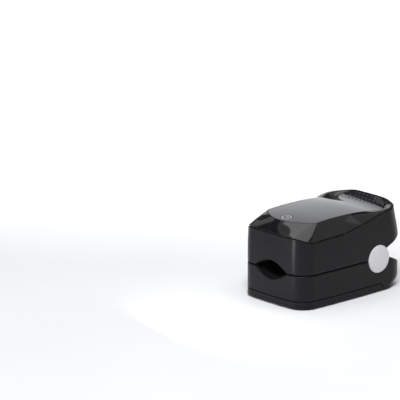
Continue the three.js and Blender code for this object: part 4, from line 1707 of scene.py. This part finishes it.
@dataclass
class Cells:
    """The two AAA cells and their cone springs."""

    radius: float = 5.15
    length: float = 44.5
    nub: float = 0.8
    roll: float = 0.45
    band_share: float = 0.72
    spring_turns: float = 2.5
    spring_radius: float = 3.4
    spring_taper: float = 1.0
    wire: float = 0.28

    def cell(self, middle: tuple[float, float], flat_end: float, way: float) -> list[Surface]:
        """A cell: sleeve rolled over both ends, a steel can end and a steel cap with its nub.

        Args:
            middle: X and Z of its axis.
            flat_end: Y of the flat end.
            way: 1 if the nub points to +Y, -1 if it points to -Y.

        Returns:
            The sleeve with material 0 and the metal ends with material 1.
        """
        r, roll, body = self.radius, self.roll, self.length - self.nub
        turn = np.linspace(0, math.pi / 2, 6)
        rise, run = roll * np.sin(turn), roll * np.cos(turn)
        low = np.stack([r - roll + rise, roll - run], -1)
        high = np.stack([r - roll + run, body - roll + rise], -1)
        inside = [(r - 1.1, body), (r - 1.1, body - 0.3), (r - 1.0, 0.3)]
        sleeve = np.concatenate([[(r - 1.0, 0.0)], low, high, inside])
        end = [(0.1, 0.12), (3.4, 0.12), (3.6, 0.2), (r - 0.9, 0.25), (r - 0.9, 0.8), (0.1, 0.8)]
        can = [(0.1, body - 1), (r - 1.0, body - 1), (r - 1.0, body - 0.2), (2.2, body - 0.15)]
        tip = [(1.95, body + 0.1), (1.9, body + 0.6), (1.7, body + 0.8), (0.1, body + 0.8)]
        origin, axis = (middle[0], flat_end, middle[1]), (0, way, 0)
        return [
            revolve(sleeve, origin, axis, 72, looped=True),
            revolve(end, origin, axis, 72, material=1),
            revolve(can + tip, origin, axis, 72, material=1),
        ]

    def spring(self, middle: tuple[float, float], start: float, end: float) -> Surface:
        """A cone spring: a helix along Y whose radius shrinks as it goes.

        Args:
            middle: X and Z of its axis.
            start: Y of its wide end.
            end: Y of its narrow end.

        Returns:
            The closed wire.
        """
        share = np.linspace(0, 1, 90)
        angle = self.spring_turns * 2 * math.pi * share
        radius = self.spring_radius - self.spring_taper * share
        x, z = middle[0] + radius * np.cos(angle), middle[1] + radius * np.sin(angle)
        return wire_surface(np.stack([x, start + (end - start) * share, z], -1), self.wire)

    def build(self, finishes: "Finishes") -> None:
        """Makes the cells and springs where the frame has them.

        Args:
            finishes: every material.
        """
        for name, way in (("left", -1.0), ("right", 1.0)):
            low, high = (np.array(corner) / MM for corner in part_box(f"battery_{name}"))
            middle = ((low[0] + high[0]) / 2, (low[2] + high[2]) / 2)
            flat_end = high[1] if way < 0 else low[1]
            cell = to_object(f"cell_{name}", self.cell(middle, flat_end, way))
            band = flat_end + way * self.band_share * self.length
            sleeve = CellSleeve(f"cell_sleeve_{name}", band, way > 0).build()
            looks, node = [sleeve, finishes.plated], f"battery_{name}"
            finish_piece(cell, Body.LOWER, Slot.CELL, looks, (node,), crease=50)
            node = f"battery_spring_{name}"
            low, high = (np.array(corner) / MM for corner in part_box(node))
            near, far = low[1] + 0.3, high[1] - 0.3
            start, end = (far, near) if way < 0 else (near, far)
            spring = to_object(f"cell_spring_{name}", [self.spring(middle, start, end)])
            finish_piece(spring, Body.LOWER, Slot.STEEL, [finishes.plated], (node,), crease=60)


@dataclass
class Fasteners:
    """The small pan-head screws, each with a cross recess.

    Each kind has its body, its node stem and count, then head radius, head height and shank.
    """

    kinds: tuple[tuple[Body, str, int, float, float, float], ...] = (
        (Body.UPPER, "upper_screw", 4, 1.5, 0.8, 0.8),
        (Body.LOWER, "lower_screw", 2, 1.9, 1.2, 0.8),
    )
    face_rings: int = 22
    thread_pitch: float = 0.5
    thread_depth: float = 0.09

    def screw(self, foot: Array, head: float, tall: float, length: float, shank: float) -> Surface:
        """A screw pointing up: domed head with a cross pressed in, then a ridged shank.

        Args:
            foot: the middle of the head's outer face.
            head: radius of the head.
            tall: height of the head.
            length: length of the shank.
            shank: radius of the shank.

        Returns:
            The closed shell. The cross is a dip where either X or Y is small and both are near.
        """
        rings = self.face_rings
        radius = np.concatenate([np.linspace(0.03, head * 0.98, rings), [head, head, shank]])
        dome = 0.25 * tall * (np.linspace(0, 1, rings) ** 3)
        z = np.concatenate([dome, [0.32 * tall, tall, tall]])
        threads = np.linspace(0, 1, 60)
        ridge = self.thread_depth * np.abs(np.sin(threads * math.pi * length / self.thread_pitch))
        radius = np.concatenate([radius, shank - ridge, [shank * 0.4]])
        z = np.concatenate([z, tall + threads * (length - 0.4), [tall + length]])
        angle = np.linspace(0, 2 * math.pi, 72, endpoint=False)
        x, y = column(radius) * np.cos(angle), column(radius) * np.sin(angle)
        narrow = np.minimum(np.abs(x), np.abs(y))
        near = np.clip(3.4 - 5 * np.hypot(x, y) / head, 0, 1)
        arm = np.clip(1.6 - narrow / (0.13 * head), 0, 1) * near
        face = column(z) + 0 * x
        face[:rings] += 0.55 * tall * arm[:rings]
        return ring_surface(np.stack([x + foot[0], y + foot[1], face + foot[2]], -1))

    def build(self, finishes: "Finishes") -> None:
        """Makes every screw where the frame has one.

        Args:
            finishes: every material.
        """
        for body, stem, count, head, tall, shank in self.kinds:
            for number in range(1, count + 1):
                node = f"{stem}_{number}"
                low, high = (np.array(corner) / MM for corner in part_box(node))
                foot = np.array([*(low + high)[:2] / 2, low[2]])
                shape = self.screw(foot, head, tall, high[2] - low[2] - tall, shank)
                screw = to_object(f"pan_head_{node}", [shape])
                finish_piece(screw, body, Slot.STEEL, [finishes.plated], (node,), crease=40)


@dataclass
class Flex:
    """The flat flex from the main board to the detector board, in two runs that meet at the pivot."""

    half: float = 4.0
    thick: float = 0.3
    upper: tuple[tuple[float, float], ...] = (
        (17.6, 29.2), (18, 24), (14.5, 18.5), (12.3, 14.6),
    )
    lower: tuple[tuple[float, float], ...] = (
        (12.2, 14.5), (11.4, 12.6), (10.9, 10.3), (9.6, 8.2), (6.5, 7.6), (-1.6, 7.3),
    )

    def run(self, route: tuple[tuple[float, float], ...]) -> Surface:
        """One run: its route in Y and Z, offset to both sides, drawn out along X.

        Args:
            route: places that the run passes.

        Returns:
            The closed run.
        """
        path = smooth_path(np.array(route), 14)
        tangent = np.gradient(path, axis=0)
        tangent /= np.linalg.norm(tangent, axis=1, keepdims=True)
        normal = np.stack([-tangent[:, 1], tangent[:, 0]], -1) * self.thick / 2
        x = np.linspace(-self.half, self.half, 12)[None, :, None]
        rest = np.ones_like(x)
        faces = [
            np.concatenate([x + 0 * line[:, None, :1], line[:, None, :] * rest], -1)
            for line in (path + normal, path - normal)
        ]
        return plate_surface(*faces)

    def build(self, finishes: "Finishes") -> None:
        """Makes both runs, each on the jaw that carries it.

        Args:
            finishes: every material.
        """
        upper = to_object("flex_upper_run", [self.run(self.upper)])
        finish_piece(upper, Body.UPPER, Slot.FLEX, [finishes.flex])
        lower = to_object("flex_ribbon", [self.run(self.lower)])
        finish_piece(lower, Body.LOWER, Slot.FLEX, [finishes.flex], ("flex_cable",))


# ---------------------------------------------------------------- finishes and stage
@dataclass
class Finishes:
    """Every material, built once."""

    window_middle: tuple[float, float]
    window_reach: tuple[float, float]
    key_middle: tuple[float, float]

    def __post_init__(self) -> None:
        """Builds the materials."""
        self.satin = SatinPlastic("satin_black", (0.0085, 0.0078, 0.0095), 0.32).build()
        self.inner = SatinPlastic("inner_black", (0.006, 0.006, 0.0065), 0.55, 0.2).build()
        self.gloss = PianoGloss("piano_black", (0.0022, 0.0022, 0.0028)).build()
        self.window = SmokedWindow("smoked_window", self.window_middle, self.window_reach).build()
        self.key = PrintedKey("printed_key", self.key_middle, 1.95, 0.42).build()
        # The cap's last number lightens its rolled rim: a painted highlight.
        self.cap = SatinPlastic("cap_white", (0.7, 0.69, 0.715), 0.3, 0.45, 0.06, 0.018, 1.05).build()
        self.silicone = Silicone("black_silicone").build()
        self.steel = Metal("spring_steel", (0.55, 0.55, 0.56)).build()
        self.plated = Metal("nickel_plate", (0.7, 0.68, 0.64), 0.2, (5000.0, 5000.0, 900.0)).build()
        self.board = SolderMask("solder_mask").build()
        self.clear = ClearPlastic("clear_window").build()
        self.flex = FlexFilm("amber_film").build()

    def dress_frame(self, nodes: dict[str, bpy.types.Object], shown: dict[str, str]) -> None:
        """Gives each CAD node that stays its procedural material.

        Args:
            nodes: the frame's nodes.
            shown: the finish's attribute name for each node.
        """
        for node, finish in shown.items():
            mesh = nodes[node].data
            mesh.materials.clear()
            mesh.materials.append(getattr(self, finish))
            log.info("%s: CAD node kept, finish %s", node, finish)


@dataclass(frozen=True)
class Lamp:
    """An area lamp, faintly blue like a softbox, that the camera itself doesn't see.

    Its place and size are in metres. Its radiance says how bright its face looks, in watts
    per steradian and square metre. It faces the device unless it has a direction of its own.
    """

    name: str
    place: Triple
    size: tuple[float, float]
    radiance: float
    facing: Triple | None = None
    tint: Colour = (0.98, 0.988, 1.0)

    def hang(self) -> None:
        """Puts the lamp in its place and turns it."""
        data = bpy.data.lights.new(self.name, "AREA")
        data.shape = "RECTANGLE"
        data.size, data.size_y = self.size
        data.energy = self.radiance * math.pi * self.size[0] * self.size[1]
        data.color = self.tint
        lamp = bpy.data.objects.new(self.name, data)
        bpy.context.scene.collection.objects.link(lamp)
        lamp.location = self.place
        lamp.rotation_mode = "QUATERNION"
        device = Vector((0, 0, 0.02))
        aim = Vector(self.facing) if self.facing else device - Vector(self.place)
        lamp.rotation_quaternion = aim.to_track_quat("-Z", "Y")
        lamp.visible_camera = False


INWARDS = (0.7071, -0.7071, 0.0)
DOWN = (0.0, 0.001, -1.0)
LAMPS = (
    Lamp("backdrop_panel", (-1.089, 0.807, 0.42), (0.68, 0.84), 0.8, INWARDS),
    Lamp("ceiling", (-0.3, 0.4, 2.5), (3.8, 3.8), 0.35, DOWN),
    Lamp("floor_wash", (-0.25, 0.25, 0.85), (0.6, 0.6), 18.0, (-0.75, 0.75, -0.4)),
    Lamp("top_softbox", (0.0, 0.13, 0.84), (1.2, 0.46), 1.45, DOWN),
    Lamp("high_key", (0.45, -0.58, 1.07), (0.5, 0.5), 15.0),
    Lamp("rear_card", (0.59, 0.79, 0.70), (0.9, 0.6), 0.35),
    Lamp("facet_card", (-0.803, 0.099, 0.588), (0.25, 0.16), 0.45),
    Lamp("corner_strip", (-0.0025, -0.090, 0.018), (0.012, 0.03), 15.0, (0.2, 0.98, 0.0)),
)


@dataclass
class Studio:
    """Floor, lights and camera."""

    target: Triple = (0.0, -0.5, 15.0)
    azimuth: float = 45.6
    elevation: float = 16.4
    distance: float = 1660.0
    lens: float = 360.0
    aside: float = -51.08
    above: float = 22.2

    def axes(self) -> tuple[Vector, Vector, Vector]:
        """The camera's own directions at the chosen angle.

        Returns:
            Right, up and back.
        """
        a, e = math.radians(self.azimuth), math.radians(self.elevation)
        right = Vector((math.cos(a), math.sin(a), 0))
        up = Vector((-math.sin(a) * math.sin(e), math.cos(a) * math.sin(e), math.cos(e)))
        back = Vector((math.sin(a) * math.cos(e), -math.cos(a) * math.cos(e), math.sin(e)))
        return right, up, back

    def camera(self) -> None:
        """Sets up the camera: it looks past the device, which stands to the right of the middle."""
        right, up, back = self.axes()
        data = bpy.data.cameras.new("camera")
        data.lens, data.sensor_width = self.lens, 36.0
        data.clip_start, data.clip_end = 0.05, 20.0
        camera = bpy.data.objects.new("camera", data)
        bpy.context.scene.collection.objects.link(camera)
        place = (Vector(self.target) + back * self.distance) * MM
        aim = (Vector(self.target) + right * self.aside + up * self.above) * MM
        camera.location = place
        camera.rotation_mode = "QUATERNION"
        camera.rotation_quaternion = (aim - place).to_track_quat("-Z", "Y")
        bpy.context.scene.camera = camera

    def floor(self) -> None:
        """A wide pale floor just under the device."""
        reach = 3000.0
        x = np.linspace(-reach, reach, 3)
        top = np.stack([x + 0 * x[:, None], x[:, None] + 0 * x, np.full((3, 3), -0.02)], -1)
        floor = to_object("floor", [plate_surface(top, top - np.array([0, 0, 4.0]))])
        graph = Graph("pale_floor", Specular_IOR_Level=0.1, Roughness=0.9)
        graph.link(
            graph.ramp(graph.noise(9.0), (0.3, (0.85, 0.85, 0.852)), (0.7, (0.88, 0.88, 0.882))),
            graph.shader.inputs["Base Color"],
        )
        floor.data.materials.append(graph.material)

    def build(self) -> None:
        """Sets up the whole stage."""
        world = bpy.data.worlds.new("studio")
        world.use_nodes = True
        world.node_tree.nodes["Background"].inputs["Color"].default_value = (0.95, 0.97, 1.0, 1)
        world.node_tree.nodes["Background"].inputs["Strength"].default_value = 0.1
        bpy.context.scene.world = world
        self.floor()
        self.camera()
        for lamp in LAMPS:
            lamp.hang()
        bpy.context.scene.view_settings.view_transform = "Standard"


KEPT_NODES = {
    "switch_plunger": "inner",
    "tact_switch": "plated",
    "display_module": "gloss",
    "main_board": "board",
    "processor_chip": "inner",
    "upper_tray": "inner",
    "emitter_board": "board",
    "emitter_window": "clear",
    "lower_tray": "inner",
    "detector_board": "board",
    "detector_window": "clear",
    "contact_bridge": "plated",
    "contact_rear_left": "plated",
    "contact_rear_right": "plated",
}


def main() -> None:
    """Builds every piece round the frame, in order."""
    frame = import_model()
    low, high = (np.array(corner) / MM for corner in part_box("lower_shell"))
    lens_low, lens_high = (np.array(corner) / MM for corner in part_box("display_lens"))
    key_low, key_high = (np.array(corner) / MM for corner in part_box("power_button"))
    screen_low, screen_high = (np.array(corner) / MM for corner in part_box("display_module"))
    hinge = next(joint for joint in frame["joints"] if joint["name"] == "jaw_hinge")
    pivot = (hinge["pos_m"][1] / MM, hinge["pos_m"][2] / MM)
    key = (0.0, float((key_low + key_high)[1] / 2))
    corners = {"front_radius": 6.5, "rear_radius": 9.0, "front_bow": 1.1, "side_bow": 0.8}
    sizes = {"half": high[0], "front": low[1], "rear": high[1], **corners}
    crowd = cover_crowd(Form.cover_rear, Form.cover_corner)
    upper_form = Form(Plan(**sizes), pivot)
    lower_form = Form(Plan(**sizes, crowd=crowd), pivot)
    lens_gap = 0.2
    lens_plan = Plan(
        half=lens_high[0] + lens_gap,
        front=lens_low[1] - lens_gap,
        rear=lens_high[1] + lens_gap,
        front_radius=1.8,
        rear_radius=8.5,
        front_bow=6.1,
        keep_front_radius=True,
    )
    window = Window(lens_plan, upper_form, key)
    middle = tuple(((screen_low + screen_high) / 2)[:2])
    finishes = Finishes(middle, tuple(((screen_high - screen_low) / 2)[:2]), key)
    UpperJaw(upper_form, window).build(finishes)
    Key(window).build(finishes)
    LowerJaw(lower_form).build(finishes)
    FingerPads(upper_form).build(finishes)
    Hinge(pivot).build(finishes)
    Cells().build(finishes)
    Fasteners().build(finishes)
    Flex().build(finishes)
    finishes.dress_frame(frame["nodes"], KEPT_NODES)
    Studio().build()


if __name__ == "__main__":
    main()
